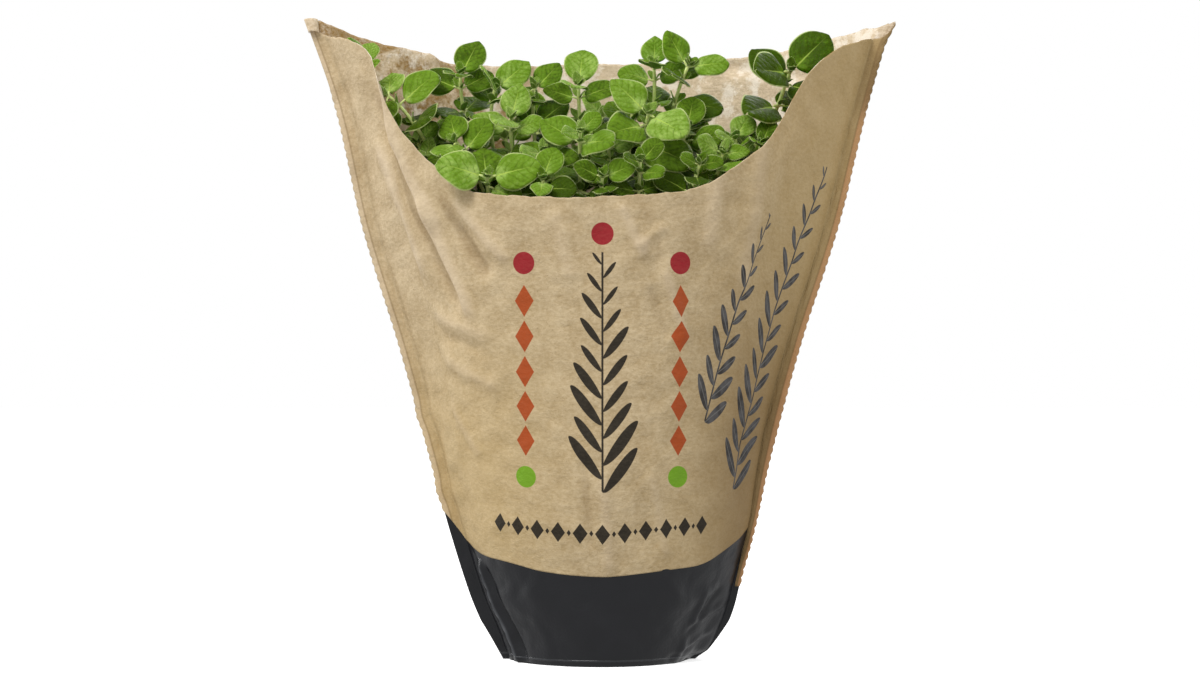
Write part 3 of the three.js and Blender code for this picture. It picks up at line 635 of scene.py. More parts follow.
def set_leaf(stem, place, angle, lift, to_light, **form):
    """A leaf of that form at a place along the stem, with its directions along the blade, across it and out
    of its upper side, for an angle round the stem and a lift from level. It turns towards the light."""
    up, first, second = stem_frame(stem.curve, place)
    out = first * math.cos(angle) + second * math.sin(angle)
    way = unit(out * math.cos(lift) + up * math.sin(lift))
    across = unit(np.cross(way, up * math.cos(lift) - out * math.sin(lift) + to_light))
    origin = curve_point(stem.curve, place)
    return SimpleNamespace(origin=origin, way=way, across=across, normal=np.cross(across, way), **form)


def leaf_form(stem, pair, side, attempt):
    """One leaf's place and form, in the turn and size of that attempt."""
    seed = 100 * stem.index + 10 * pair + side
    swing = 0.22 + 0.09 * attempt if attempt else 0
    turned, lifted = (varied(seed, 31 * attempt + n, swing) for n in (11, 12))
    azimuth = math.radians(stem.turn) + pair * math.pi / 2 + side * math.pi
    angle = azimuth + varied(seed, 1, 0.22) + 1.2 * turned
    lift = 0.95 - 0.45 * stem.lean - 0.2 * pair + varied(seed, 2, 0.14) + lifted
    share = stem.top if pair == 0 else PAIR_LENGTHS[pair - 1]
    length = stem.leaf * share * (1 + varied(seed, 3, 0.1)) * (1 - 0.035 * attempt)
    return set_leaf(
        stem, pair_place(pair), angle, lift, TO_LIGHT, length=length, stalk=1.2 + 0.13 * length,
        half=length * (0.44 + varied(seed, 4, 0.05)), droop=0.1 + varied(seed, 5, 0.1) + 0.03 * pair,
        cup=0.12 + varied(seed, 6, 0.12), seed=seed, pair=pair,
    )


def leaf_point(leaf, s, v, above):
    """Points of a leaf's middle surface: s along the blade from 0 to 1, v across it in mm."""
    rise = leaf.cup * (v / leaf.half) ** 2 * leaf.half - leaf.droop * s * s * leaf.length + above
    moves = [(leaf.way, leaf.stalk + s * leaf.length), (leaf.across, v), (leaf.normal, rise)]
    return leaf.origin + sum(way * np.asarray(size)[..., None] for way, size in moves)


def grown_leaves(stem):
    """The leaves that the stem's node holds: those whose tip is a corner of its mesh."""
    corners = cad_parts[stem.node].data.vertices
    tree = KDTree(len(corners))
    for i, corner in enumerate(corners):
        tree.insert(corner.co / MM, i)
    tree.balance()
    leaves = []
    for pair in range(stem.pairs):
        for side in (0, 1):
            for attempt in range(ATTEMPTS):
                leaf = leaf_form(stem, pair, side, attempt)
                tip = leaf_point(leaf, np.array(1.0), np.array(0.0), 0)
                if tree.find(tip)[2] < SAME_PLACE:
                    leaves.append(leaf)
                    break
    return leaves


# ---- The plant's pieces

LEAF_THICKNESS = 0.4
GROOVE, EDGE_WAVE, EDGE_ROLL, QUILT = 0.05, 0.03, 0.07, 0.006  # a blade's relief, as shares of its length
BLADE_GRID, BUD_GRID = (25, 13), (8, 7)
HAIR_LENGTH, HAIR_SPREAD = 0.75, (0.6, 1.2)  # and the least and greatest share of it
HAIR_WIDTH, HAIR_BEND, HAIR_ROOT = 0.1, 0.5, 0.15
HAIR_RINGS, HAIRS_IN_RING = np.linspace(0.3, 0.99, 50), 5  # places along a stem
STEM_RINGS = np.linspace(0, 1, 34)
SQUARENESS = 0.07
KNOT_LENGTH, STEM_WIDTH, KNOT_WIDTH = 0.012, 0.92, 0.18  # a knot swells the stem at each pair of leaves
HAIR_FACES = np.array([[0, 2, 1], [0, 1, 3], [1, 2, 3], [2, 0, 3]])
BLADE_BASE = 0.45  # how blunt the blade's base is: 0 is square
LEAST_POINT, MORE_POINT = 0.46, 0.36  # how pointed its tip is: the least, and how much more
WIDENED = 1.06  # the blade's width beside the solid's
SIDE_VEINS = 5
TUBE_SIDES = 8
TUBE_CAP = np.array([[0, 1, 2, 3], [0, 3, 4, 7], [4, 5, 6, 7]])


def blade_outline(s, point):
    """Half of a leaf's width along its length, as a share of the widest: broadly oval, and the more
    pointed at the tip the larger point is."""
    widest = BLADE_BASE / (BLADE_BASE + point)
    return (s**BLADE_BASE * (1 - s) ** point) / (widest**BLADE_BASE * (1 - widest) ** point)


def side_veins(s, reach, right):
    """Counts the side veins from the base of a blade: a whole number on each, halves between them. They
    leave the midrib slanting and curve forwards, those at the right a little further up. reach is the
    distance from it, as a share of the length."""
    return SIDE_VEINS * (s - 0.7 * reach - 0.9 * reach * reach) - 0.35 * right


def add_hairs(parts, seed, roots, ways):
    """A short tapering hair at each root, bent a little away from its way."""
    random = np.random.default_rng(seed)
    bent = unit(ways + random.uniform(-HAIR_BEND, HAIR_BEND, ways.shape))
    beside = unit(np.cross(bent, [0.36, 0.48, 0.8]))
    third = np.cross(bent, beside)
    start = roots - bent * HAIR_ROOT
    corners = [start + HAIR_WIDTH / 2 * (math.cos(a) * beside + math.sin(a) * third) for a in (0, 2.1, 4.2)]
    tips = roots + bent * HAIR_LENGTH * random.uniform(*HAIR_SPREAD, (len(roots), 1))
    points = np.stack([*corners, tips], axis=1).reshape(-1, 3)
    faces = (HAIR_FACES + 4 * np.arange(len(roots))[:, None, None]).reshape(-1, 3)
    parts.add(points, faces, HAIR)


def add_blade(parts, leaf, tone, rows, columns):
    """A leaf's blade: sunk along its veins, waved towards its edge, thin and hairy at its rim."""
    s = (0.0005 + 0.999 * ease(np.linspace(0, 1, rows)) ** 0.9)[:, None]
    q = np.linspace(-1, 1, columns)[None, :]
    point = LEAST_POINT + MORE_POINT * draw(leaf.seed, 23) ** 1.5
    v = q * blade_outline(s, point) * leaf.half * WIDENED
    phase = 6.3 * draw(leaf.seed, 21)
    groove = -GROOVE * np.exp(-((v / (0.07 * leaf.length)) ** 2)) * (1 - s)
    wave = EDGE_WAVE * q**2 * np.sin(9 * s + phase + 1.5 * q)
    veins = side_veins(s, np.abs(v) / leaf.length, v > 0)
    quilt = QUILT * np.cos(2 * math.pi * veins) * (1 - q**4)
    middle = leaf_point(leaf, s, v, (groove + wave - EDGE_ROLL * q**4 - quilt) * leaf.length)
    half = LEAF_THICKNESS / 2 * (1 - 0.55 * q**2)[..., None]
    rim = np.maximum(np.abs(q), np.abs(2 * s - 1) ** 16)
    flat = (s * BLADE_MAP, v / leaf.length * BLADE_MAP)
    parts.add_sheet(middle, half, [UPPER, UNDER, UNDER], flat, (rim, tone, 0))
    roots = np.concatenate([middle[1:-1, 0], middle[1:-1, -1]])
    ways = roots - np.concatenate([middle[1:-1, 1], middle[1:-1, -2]])
    add_hairs(parts, leaf.seed, roots, unit(ways))


def add_tube(parts, centres, frames, radii, tone, squareness=0.0):
    """A tube of eight sides along a row of points, its section between round and square."""
    angles = np.arange(TUBE_SIDES) * 2 * math.pi / TUBE_SIDES
    section = 1 + squareness * np.cos(4 * angles)
    x, y = section * np.cos(angles), section * np.sin(angles)
    rings = np.array([
        centre + radius * (np.outer(x, first) + np.outer(y, second))
        for centre, (first, second), radius in zip(centres, frames, radii)
    ])
    count = len(rings)
    closed = np.concatenate([rings, rings[:, :1]], axis=1)
    caps = [TUBE_CAP[:, ::-1], TUBE_CAP + (count - 1) * TUBE_SIDES]
    faces = np.concatenate([quads(count, TUBE_SIDES, True), *caps])
    around = np.linalg.norm(np.diff(closed, axis=1), axis=-1).cumsum(1)
    length = np.arange(count)[:, None] * 3.0 + 0 * around
    parts.add(rings.reshape(-1, 3), faces, SKIN, np.stack([around, length], -1).reshape(-1, 2), (0, tone, 0))


def add_stalk(parts, leaf, tone):
    """The leaf's own stalk, from inside the stem to just under its blade."""
    centres = [leaf.origin + leaf.way * leaf.stalk * share for share in np.linspace(0, 1.12, 5)]
    radii = (0.028 * leaf.length + 0.12) * np.array([1.25, 1, 0.9, 0.85, 0.5])
    add_tube(parts, centres, [(leaf.across, leaf.normal)] * 5, radii, tone)


def stem_radius(t):
    return STEM_RADII[0] + (STEM_RADII[1] - STEM_RADII[0]) * t


def add_stem(parts, stem, tone):
    """The square stem, a little swollen at each pair of leaves, and its hairs."""
    foot = curve_point(stem.curve, 0) - [0, 0, STEM_FOOT]
    centres = [foot] + [curve_point(stem.curve, t) for t in STEM_RINGS]
    frames = [stem_frame(stem.curve, t)[1:] for t in (0, *STEM_RINGS)]
    knots = np.array([pair_place(k) for k in range(stem.pairs)])
    swell = np.exp(-(((STEM_RINGS[:, None] - knots) / KNOT_LENGTH) ** 2)).sum(1)
    radii = np.concatenate([[STEM_RADII[0]], stem_radius(STEM_RINGS) * (STEM_WIDTH + KNOT_WIDTH * swell)])
    add_tube(parts, centres, frames, radii, tone, SQUARENESS)
    roots, ways = [], []
    for ring, t in enumerate(HAIR_RINGS):
        centre, (_, first, second) = curve_point(stem.curve, t), stem_frame(stem.curve, t)
        for k in range(HAIRS_IN_RING):
            angle = 1.9 * ring + 1.257 * k
            way = first * math.cos(angle) + second * math.sin(angle)
            roots.append(centre + way * stem_radius(t) * 0.9)
            ways.append(way)
    add_hairs(parts, 500 + stem.index, np.array(roots), np.array(ways))


def add_young(parts, stem, tone, place, sizes, lift):
    """Pairs of young leaves at one place of a stem, still small and upright, one for each size."""
    for level, size in enumerate(sizes):
        for side in (0, 1):
            seed = 9000 + 100 * stem.index + int(place * 997) + 10 * level + side
            angle = math.radians(stem.turn) + 0.6 + level * 1.57 + side * math.pi + 0.5 * draw(seed, 1)
            length = size * (0.85 + 0.3 * draw(seed, 2))
            leaf = set_leaf(stem, place, angle, lift, 0.4 * TO_LIGHT, length=length, half=length * 0.34,
                            stalk=0.8, droop=0.05, cup=0.3, seed=seed)
            add_blade(parts, leaf, tone, *BUD_GRID)


def add_buds(parts, stem, tone):
    """The youngest leaves at the tip, and the small ones beside each pair."""
    add_young(parts, stem, tone, 0.999, (5.5, 3.6), 1.15)
    for k in range(stem.pairs):
        add_young(parts, stem, tone, pair_place(k) + 0.004, (4.5 + 0.5 * k,), 0.9)


def plant_stem(stem, materials):
    """One leafy stem. Its tone runs from 0, deep green, to 1, the yellow green of young leaves, and is
    deeper towards the right."""
    parts = Parts()
    shade = 0.4 - 0.0018 * stem.curve[-1][0] + 0.5 * (draw(stem.index, 51) - 0.5)
    add_stem(parts, stem, shade)
    for leaf in grown_leaves(stem):
        # Lower pairs are deeper green: partly for their age, partly as painted shade under the leaves above.
        young = 0.25 - 0.17 * leaf.pair
        tone = min(max(shade + young + 0.45 * (draw(leaf.seed, 22) - 0.5), 0), 0.75)
        add_blade(parts, leaf, tone, *BLADE_GRID)
        add_stalk(parts, leaf, tone)
    add_buds(parts, stem, min(shade + 0.35, 1))
    parts.build(f"oregano_stem_{stem.index + 1:02d}", materials, stem.node)


# ---- Materials


def srgb(red, green, blue):
    """A colour given in display values from 0 to 255, as Blender's linear one."""
    shares = np.array([red, green, blue]) / 255
    linear = np.where(shares > 0.04045, ((shares + 0.055) / 1.055) ** 2.4, shares / 12.92)
    return (*map(float, linear), 1.0)


def feed(tree, socket, item):
    """Gives an input its value, or links it to a field or to another node's output."""
    item = item.value if isinstance(item, Field) else item
    if isinstance(item, bpy.types.NodeSocket):
        tree.links.new(item, socket)
    else:
        socket.default_value = item


def add_node(tree, kind, inputs, **settings):
    """Adds a node with its settings and what feeds its inputs, and gives its outputs."""
    node = tree.nodes.new("ShaderNode" + kind)
    for name, value in settings.items():
        setattr(node, name, value)
    for key, item in inputs.items():
        feed(tree, node.inputs[key], item)
    return node.outputs


def math_method(operation):
    """A method of Field that works out one operation of a Math node."""

    def method(self, *others):
        inputs = dict(enumerate((self, *others)))
        return Field(self.tree, add_node(self.tree, "Math", inputs, operation=operation)[0])

    return method


class Field:
    """A number that the nodes of a material work out at each point of a surface."""

    __add__ = __radd__ = math_method("ADD")
    __mul__ = __rmul__ = math_method("MULTIPLY")
    __sub__, __truediv__ = math_method("SUBTRACT"), math_method("DIVIDE")
    __pow__, __abs__ = math_method("POWER"), math_method("ABSOLUTE")
    fraction, floor, sine = math_method("FRACT"), math_method("FLOOR"), math_method("SINE")
    least, most = math_method("MINIMUM"), math_method("MAXIMUM")

    def __init__(self, tree, value):
        self.tree, self.value = tree, value

    def __rsub__(self, other):
        return Field(self.tree, other) - self

    def step(self, low, high):
        """0 where the number is low and 1 where it is high, with a soft change between."""
        inputs = {"Value": self, "From Min": low, "From Max": high}
        outputs = add_node(self.tree, "MapRange", inputs, interpolation_type="SMOOTHSTEP")
        return Field(self.tree, outputs["Result"])


class Look:
    """A material being made: its surface coordinates, its textures, its colour and its one shader."""

    def __init__(self, name, roughness, specular=0.5):
        self.material = bpy.data.materials.new(name)
        self.material.use_nodes = True
        self.tree = self.material.node_tree
        self.set({"Roughness": roughness, "Specular IOR Level": specular})

    def set(self, inputs):
        """Feeds inputs of the shader."""
        for name, item in inputs.items():
            feed(self.tree, self.tree.nodes["Principled BSDF"].inputs[name], item)

    def node(self, kind, inputs, **settings):
        return add_node(self.tree, kind, inputs, **settings)

    def field(self, kind, output, inputs, **settings):
        return Field(self.tree, self.node(kind, inputs, **settings)[output])

    def scaled(self, vector, scale):
        return self.node("VectorMath", {0: vector, "Scale": scale}, operation="SCALE")[0]

    def flat(self):
        """The flat map's two coordinates, in its own mm or hundredths, and the vector of both."""
        vector = self.scaled(self.node("UVMap", {}, uv_map="Flat")[0], FLAT_UNIT)
        u, v, _ = self.node("SeparateXYZ", {0: vector})
        return Field(self.tree, u), Field(self.tree, v), vector

    def solid(self):
        """The place in the object, in mm."""
        return self.scaled(self.node("TexCoord", {})["Object"], 1 / MM)

    def height(self):
        return self.field("SeparateXYZ", 2, {0: self.solid()})

    def mark(self, name):
        return self.field("Attribute", "Fac", {}, attribute_name=name)

    def place(self, x, y, z=0.0):
        """A vector of three numbers."""
        return self.node("CombineXYZ", {0: x, 1: y, 2: z})[0]

    def noise(self, vector, size, detail=2.0, roughness=0.5):
        """Soft noise from 0 to 1, whose patches are about size mm across."""
        inputs = {"Vector": vector, "Scale": 1 / size, "Detail": detail, "Roughness": roughness}
        return self.field("TexNoise", "Fac", inputs)

    def cells(self, vector, size, feature="F1"):
        """The distance from the middles of cells about size mm across."""
        return self.field("TexVoronoi", "Distance", {"Vector": vector, "Scale": 1 / size}, feature=feature)

    def chance(self, number):
        """A random number from 0 to 1 for each whole number."""
        return self.field("TexWhiteNoise", "Value", {"W": number}, noise_dimensions="1D")

    def blend(self, factor, first, second):
        """A colour between two, each a colour or the output of another blend."""
        return self.node("Mix", {0: factor, 6: first, 7: second}, data_type="RGBA")[2]

    def coat(self, cover, colour):
        """Lays a colour over what is there, as far as cover says."""
        self.colour = self.blend(cover, self.colour, colour)

    def finish(self, height, height_mm, roughness=None):
        """Joins the colour to the shader, and the relief from a field of heights from 0 to 1."""
        relief = self.node("Bump", {"Distance": height_mm * MM, "Height": height})[0]
        self.set({"Base Color": self.colour, "Normal": relief})
        if roughness is not None:
            self.set({"Roughness": roughness})
        return self.material


# Besides the paper's own colours, the fleck colour also paints shade, the pale one paints light and
# highlights, and the orange one paints light shining through the right fin.
KRAFT_LIGHT, KRAFT_DARK, KRAFT_FLECK_AND_SHADE = srgb(212, 191, 154), srgb(172, 148, 108), srgb(120, 92, 54)
KRAFT_RED, KRAFT_BACKLIT_ORANGE, KRAFT_PALE_AND_HIGHLIGHT = srgb(188, 159, 100), srgb(206, 154, 108), srgb(228, 208, 180)
# The stain colour also paints a band of shade on the paper's inner side.
KRAFT_WHITENED, KRAFT_STAIN_AND_SHADE = srgb(244, 232, 214), srgb(142, 104, 26)
BLACK_INK, RUST, CRIMSON, GREEN = srgb(26, 22, 16), srgb(170, 70, 18), srgb(152, 12, 32), srgb(112, 162, 22)
GREY_INK, GREY_PALE, GREY_VEIN = srgb(46, 46, 48), srgb(84, 84, 86), srgb(122, 120, 116)
LEAF_DEEP, LEAF_MID, LEAF_YOUNG = srgb(58, 80, 1), srgb(104, 138, 30), srgb(166, 194, 100)
LEAF_PALE, LEAF_VEIN, LEAF_RIM = srgb(158, 178, 104), srgb(184, 208, 92), srgb(202, 218, 142)
PAPER_RELIEF = 0.8  # mm
HEM = 2.6  # height of the film's hem line, which has a painted highlight
DOT = 5.2  # radius of the print's dots
# The soft bloom of the plant's short hairs, and a little light through its skin.
BLOOM = {
    "Sheen Weight": 0.03,
    "Sheen Roughness": 0.4,
    "Subsurface Weight": 0.12,
    "Subsurface Radius": (0.5, 1.0, 0.2),
    "Subsurface Scale": 0.002,
}
CRIMSON_DOTS, GREEN_DOTS = [(-34, 183), (38, 183), (2, 196)], [(-34, 85), (38, 85)]


def paper_surface(look):
    """Kraft paper without print: lays on its colours, and gives the flat coordinates, the relief and how
    fibrous each point is. It is redder towards the right and the base. Painted shade darkens it towards the
    right, most at the lower right, and painted light makes it a little paler at the left; its folds and fins
    get painted highlights and painted shade as well."""
    u, v, flat = look.flat()
    cloudy = look.noise(flat, 13, 5, 0.6)
    fibres = look.noise(look.place(u * 0.8, v * 1.25), 1.9, 4, 0.72)
    specks = look.noise(flat, 0.7, 1).step(0.66, 0.74)
    crest, fin, right = look.mark("crest"), look.mark("rim"), look.mark("tone")
    mottle = cloudy.step(0.3, 0.7) * 0.45 + fibres.step(0.3, 0.7) * 0.55
    look.colour = look.blend(mottle, KRAFT_DARK, KRAFT_LIGHT)
    # Painted light: a little paler towards the left.
    look.coat(u.step(-10, -110) * 0.05, KRAFT_PALE_AND_HIGHLIGHT)
    look.coat((u * 0.5 - v * 0.12).step(-10, 50) * 0.6, KRAFT_RED)
    # Painted shade: darker towards the lower right.
    look.coat(u.step(30, 85) * v.step(220, 90) * 0.65, KRAFT_FLECK_AND_SHADE)
    look.coat(u.step(10, -70) * v.step(190, 80) * 0.45, KRAFT_RED)
    # Painted shade: a little darker towards the right.
    look.coat(u.step(60, 120) * 0.08, KRAFT_FLECK_AND_SHADE)
    look.coat(specks * 0.4, KRAFT_FLECK_AND_SHADE)
    # Painted highlights on the folds' ridges, painted shade in their valleys.
    look.coat(crest.step(0.1, 0.9) * 0.35, KRAFT_PALE_AND_HIGHLIGHT)
    look.coat(crest.step(-0.1, -0.9) * 0.3, KRAFT_FLECK_AND_SHADE)
    outer, shaded_corner = fin.step(0.6, 0.72), right * v.step(246, 262)
    # Painted light: the right fin's lower part takes the orange of light shining through it.
    look.coat(outer * right * v.step(285, 245) * 0.7, KRAFT_BACKLIT_ORANGE)
    # Painted shade in the right fin's top corner, along the seam and the outer strip.
    look.coat((fin.step(0, 0.1) * 0.3 + outer * 0.3) * shaded_corner, KRAFT_FLECK_AND_SHADE)
    # Painted light: the left fin's outer strip is paler.
    look.coat(outer * (1 - right) * 0.35, KRAFT_PALE_AND_HIGHLIGHT)
    # Painted shade along the fins' fold line.
    look.coat(abs(fin - 0.64).step(0.1, 0.02) * 0.4, KRAFT_FLECK_AND_SHADE)
    wrinkles = look.cells(look.place(u + cloudy * 9, v + fibres * 2), 9, "SMOOTH_F1")
    return u, v, fibres * 0.3 + wrinkles * 0.9 + cloudy * 1.6, fibres


def kraft_plain(name):
    """The paper's inner side, paler and stained in patches, with a band of painted shade under its upper edge
    at one end.
    """
    look = Look(name, 0.7, 0.25)
    u, v, height, fibres = paper_surface(look)
    look.coat(fibres.step(0.35, 0.65) * 0.5 + 0.35, KRAFT_PALE_AND_HIGHLIGHT)
    # Painted shade: a darker band under the upper edge at one end, laid on with the stains.
    band = (v + u * 0.295).step(317.2, 318.6) * u.step(92, 100)
    patches = look.noise(look.place(u, v * 0.8), 15, 5, 0.72).step(0.44, 0.58)
    stains_and_shade = patches.most(band) * u.step(20, 50)
    pale = look.noise(look.place(u, v, 7.0), 11, 5, 0.72).step(0.48, 0.6)
    look.coat(pale * 0.85, KRAFT_WHITENED)
    look.coat(stains_and_shade * (0.45 + 0.5 * fibres.step(0.3, 0.65)), KRAFT_STAIN_AND_SHADE)
    return look.finish(height, PAPER_RELIEF)


def sprig(look, u, v, foot, angle, length, pitch, leaf_length, leaf_width, bend=0.0):
    """How much of each point a printed sprig covers, and its leaves' veins: a thin stem with slanting
    lance-shaped leaves by turns on both sides."""
    sin, cos = math.sin(math.radians(angle)), math.cos(math.radians(angle))
    up = (u - foot[0]) * sin + (v - foot[1]) * cos
    across = (u - foot[0]) * cos - (v - foot[1]) * sin - (up * (math.pi / length)).sine() * bend
    right = across.step(-0.01, 0.01)
    reach = abs(across)
    slant = up - reach * 1.2 + right * (pitch / 2)
    size = (1.05 - up / length).most(0) ** 0.45
    size = size * (0.75 + 0.25 * look.chance((slant / pitch).floor() + right * 57))
    off = abs((slant / pitch).fraction() - 0.5) * pitch * 0.62
    share = (reach / (size * leaf_length)).least(1)
    half = (share ** 0.7) * ((1 - share) ** 0.6) * size * leaf_width * 0.82
    within = up.step(-0.2, 0.3) * up.step(length, length - 0.5) * slant.step(0, 0.5)
    leaves = (half - off).step(0, 0.25)
    veins = off.step(0.3, 0.1) * leaves
    stem = reach.step(0.6, 0.35)
    return leaves.most(stem) * within, veins * within


def lozenges(u, v, centre, count, pitch, half_width, half_height):
    """How much of each point a row of printed lozenges covers."""
    along_row, off_row = u - centre[0], abs(v - centre[1])
    off = abs((along_row / pitch + count % 2 / 2).fraction() - 0.5) * pitch
    shape = 1 - off / half_width - off_row / half_height
    within = (count * pitch / 2 - abs(along_row)).least(2 * half_height - off_row)
    return shape.step(0, 0.06) * within.step(0, 0.3)


def dots(u, v, centres):
    """How much of each point the printed dots cover."""
    distances = [((u - x) ** 2.0 + (v - y) ** 2.0) ** 0.5 for x, y in centres]
    discs = [(DOT - distance).step(0, 0.3) for distance in distances]
    covered = discs[0]
    for disc in discs[1:]:
        covered = covered.most(disc)
    return covered


def kraft_printed(name):
    """The paper's outer side on the front, with a plain printed ornament: an upright twig between two
    columns of lozenges that end in dots, a border of lozenges below, and two grey reeds at the right."""
    look = Look(name, 0.62, 0.25)
    u, v, height, fibres = paper_surface(look)
    worn = 1 - 0.08 * fibres
    tall, tall_veins = sprig(look, u, v, (74, 74), 23, 168, 13, 16, 9.5, -6)
    low, low_veins = sprig(look, u, v, (53, 110), 23, 104, 12, 13, 8.5, -4)
    shading = look.noise(look.place(u, v * 0.6), 5, 3).step(0.35, 0.65)
    look.coat(tall.most(low) * worn, look.blend(shading, GREY_INK, GREY_PALE))
    look.coat(tall_veins.most(low_veins) * 0.7, GREY_VEIN)
    twig, _ = sprig(look, u, v, (2, 80), 0, 108, 12, 19, 9)
    border = lozenges(u, v, (2, 61), 11, 10, 3.4, 4.8).most(lozenges(u, v, (2, 61), 10, 10, 1.0, 1.5))
    look.coat(twig.most(border) * worn, BLACK_INK)
    left, right = (lozenges(v, u, (134, side), 5, 16, 7.4, 4.6) for side in (-34, 38))
    look.coat(left.most(right) * worn, RUST)
    look.coat(dots(u, v, CRIMSON_DOTS) * worn, CRIMSON)
    look.coat(dots(u, v, GREEN_DOTS) * worn, GREEN)
    return look.finish(height, PAPER_RELIEF)


def kraft_back(name):
    look = Look(name, 0.66, 0.25)
    _, _, height, _ = paper_surface(look)
    return look.finish(height, PAPER_RELIEF)


def film(name):
    """Black glossy film with fine crinkles, with painted highlights on its sharpest folds and along its hem.
    """
    look = Look(name, 0.34, 0.43)
    u, v, flat = look.flat()
    cloudy = look.noise(flat, 14, 3)
    crinkle = look.cells(look.place(u + cloudy * 6, v), 7, "SMOOTH_F1")
    fine = look.noise(flat, 1.6, 3)
    hem = abs(look.height() - HEM).step(0.6, 0.2)
    look.colour = look.blend(cloudy, srgb(14, 15, 19), srgb(24, 25, 29))
    # Painted highlights on the sharpest folds and along the hem.
    look.coat(look.mark("crest").step(0.55, 0.95) * 0.6, srgb(92, 94, 98))
    look.coat(hem * 0.4, srgb(70, 72, 76))
    return look.finish(crinkle * 0.7 + fine * 0.15 + hem * 0.3, 1.0, cloudy * 0.16 + 0.24)


def leaf_green(look, tone):
    """The green of a leaf, from deep to young."""
    deep = look.blend(tone.step(0, 0.55), LEAF_DEEP, LEAF_MID)
    return look.blend(tone.step(0.45, 1.0), deep, LEAF_YOUNG)


def leaf_veins(look):
    """A blade's veins: the midrib and the side veins as fields from 0 to 1, and how high the blade swells
    between them."""
    s, v, flat = look.flat()
    reach = abs(v)
    middle = (reach + s * 0.02).step(3.0, 1.0)
    crooked = look.noise(flat, 22) * 0.9 - 0.45
    count = side_veins(s / BLADE_MAP, reach / BLADE_MAP, v.step(-0.1, 0.1)) + crooked
    off = abs((count + 0.5).fraction() - 0.5)
    side = (off + reach * 0.0015).step(0.1, 0.02)
    swell = 1 - (1 - off.least(0.5) * 2) ** 2.0
    return middle, side, swell * reach.step(0, 8)


def leaf_upper(name):
    """Green, yellower near the stalk, with a pale midrib and rim; painted highlights make the swells between
    the veins yellower, and painted shade darkens the side veins.
    """
    look = Look(name, 0.45, 0.07)
    tone, rim = look.mark("tone"), look.mark("rim")
    s, v, flat = look.flat()
    middle, side, swell = leaf_veins(look)
    patches, quilting = look.noise(look.solid(), 5, 3), look.noise(flat, 6.5, 3, 0.6)
    near_stalk = (s + abs(v) * 1.5).step(60, 0)
    # Painted highlight: the swells between the veins are a little yellower.
    tone = tone + patches * 0.6 + quilting * 0.45 + near_stalk * 0.45 + swell * 0.08 - 0.68
    look.colour = leaf_green(look, tone)
    # Painted shade along the side veins.
    look.coat(side * (patches * 0.5 + 0.15), LEAF_DEEP)
    look.coat(middle * s.step(110, 20) * 0.65, LEAF_VEIN)
    look.coat(rim.step(0.91, 0.985) * 0.85, LEAF_RIM)
    look.set(BLOOM)
    return look.finish(swell * 0.16 + patches * 0.5 + quilting * 0.5, 1.0, tone * 0.15 + 0.45)


def leaf_under(name):
    """Duller and paler than the upper side, with raised veins."""
    look = Look(name, 0.6, 0.07)
    tone, rim = look.mark("tone"), look.mark("rim")
    middle, side, swell = leaf_veins(look)
    look.colour = leaf_green(look, tone * 0.6 + 0.15)
    look.coat(middle.most(side * 0.6) * 0.5 + 0.25, LEAF_PALE)
    look.coat(rim.step(0.9, 0.985) * 0.7, LEAF_RIM)
    look.set(BLOOM)
    return look.finish(middle.most(side) * 0.5 - swell * 0.15, 0.6)


def stem_skin(name):
    """Pale green stem skin with fine streaks."""
    look = Look(name, 0.6, 0.3)
    streaks = look.noise(look.solid(), 1.1, 3)
    look.colour = look.blend(streaks, srgb(196, 218, 104), srgb(238, 246, 176))
    look.set(BLOOM)
    return look.finish(streaks, 0.2)


def plant_hair(name):
    look = Look(name, 0.6, 0.3)
    look.set({"Base Color": srgb(216, 228, 168)})
    return look.material


def potting_mix(name):
    look = Look(name, 0.95, 0.2)
    place = look.solid()
    lumps, grains = look.noise(place, 5, 5, 0.7), look.cells(place, 2.2)
    pale = look.noise(place, 2.4, 1).step(0.7, 0.75)
    look.colour = look.blend(lumps.step(0.35, 0.7), srgb(34, 24, 16), srgb(74, 54, 36))
    look.coat(pale * 0.6, srgb(160, 140, 108))
    return look.finish(lumps + grains * 0.5, 2.0)


def pot_plastic(name):
    look = Look(name, 0.45)
    grain = look.noise(look.solid(), 0.8, 3)
    look.colour = look.blend(grain, srgb(24, 24, 25), srgb(33, 33, 34))
    return look.finish(grain, 0.08)


# ---- The scene

PICTURE_WIDTH, PIXEL = 1200, 0.465  # in pixels, and mm of the object that one of them shows at its middle
CAMERA_DISTANCE = 1.7
CAMERA_TARGET = (0.0009, 0, 0.1495)
LIGHT_TARGET = (0, 0, 0.15)
FLOOR_SIZE = 6  # half its width
FLOOR_WHITE, FLOOR_GLOW = (0.9, 0.9, 0.9, 1), 0.6
WORLD_SEEN, WORLD_LIGHT = 1.0, 0.6  # the white world's strength as the camera sees it, and as it lights
# The area lights: name, place, size, power.
LIGHTS = [
    ("key", (-0.75, -1.05, 1.5), 0.9, 23),
    ("fill", (1.2, -0.8, 1.1), 1.1, 3),
    ("back", (0.6, 1.2, 1.1), 0.8, 8),
    ("left_edge", (-1.3, 0.5, 0.3), 0.35, 5),
    ("right_edge", (1.3, 0.4, 0.6), 0.5, 2),
]


def make_camera():
    data = bpy.data.cameras.new("camera")
    data.sensor_fit = "HORIZONTAL"
    data.lens = data.sensor_width * CAMERA_DISTANCE / (PICTURE_WIDTH * PIXEL * MM)
    camera = add_object("camera", data)
    camera.location = (CAMERA_TARGET[0], CAMERA_TARGET[1] - CAMERA_DISTANCE, CAMERA_TARGET[2])
    camera.rotation_euler = (math.pi / 2, 0, 0)
    bpy.context.scene.camera = camera


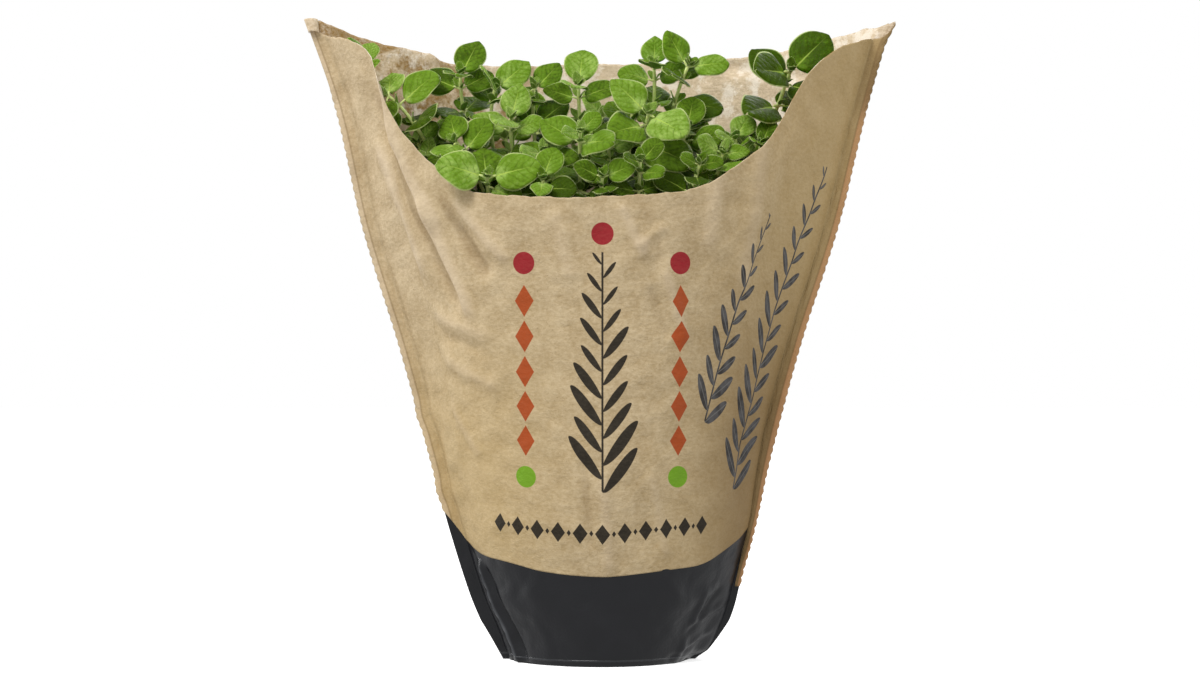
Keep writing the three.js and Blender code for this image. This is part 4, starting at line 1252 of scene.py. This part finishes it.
def make_floor():
    mesh = bpy.data.meshes.new("floor")
    corners = [(x * FLOOR_SIZE, y * FLOOR_SIZE, 0) for x, y in ((-1, -1), (1, -1), (1, 1), (-1, 1))]
    mesh.from_pydata(corners, [], [(0, 1, 2, 3)])
    look = Look("floor_white", 1.0, 0.0)
    look.set({"Base Color": FLOOR_WHITE, "Emission Color": (1, 1, 1, 1), "Emission Strength": FLOOR_GLOW})
    mesh.materials.append(look.material)
    floor = add_object("floor", mesh)
    floor.visible_diffuse = False
    floor.visible_glossy = False


def make_light(name, place, size, power):
    data = bpy.data.lights.new(name, "AREA")
    data.size = size
    data.energy = power
    light = add_object(name, data)
    light.location = place
    light.rotation_euler = (Vector(LIGHT_TARGET) - Vector(place)).to_track_quat("-Z", "Y").to_euler()


def make_world():
    world = bpy.data.worlds.new("studio")
    world.use_nodes = True
    tree = world.node_tree
    background = tree.nodes["Background"].inputs
    seen = add_node(tree, "LightPath", {})["Is Camera Ray"]
    strength = add_node(tree, "MapRange", {"Value": seen, "To Min": WORLD_LIGHT, "To Max": WORLD_SEEN})
    feed(tree, background["Color"], (1, 1, 1, 1))
    feed(tree, background["Strength"], strength["Result"])
    bpy.context.scene.world = world


def dress(node, material):
    """Gives its look to a solid that is shown as packed."""
    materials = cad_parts[node].data.materials
    materials.clear()
    materials.append(material)


def main():
    bpy.context.scene.view_settings.view_transform = "Standard"
    make_camera()
    make_world()
    for light in LIGHTS:
        make_light(*light)
    make_floor()

    crumples = [paper_crumples(seed) for seed in (1, 2)]
    inner = kraft_plain("kraft_inner")
    paper_front(crumples[0], [kraft_printed("kraft_printed"), inner])
    paper_back(crumples[1], [kraft_back("kraft_outer"), inner])
    film_base(crumples, film("black_film"))

    foliage = [leaf_upper("leaf_upper"), leaf_under("leaf_under"), stem_skin("stem_skin"),
               plant_hair("plant_hair")]
    for stem in all_stems():
        plant_stem(stem, foliage)
    dress("potting_mix", potting_mix("potting_mix"))
    dress("nursery_pot", pot_plastic("pot_plastic"))


main()
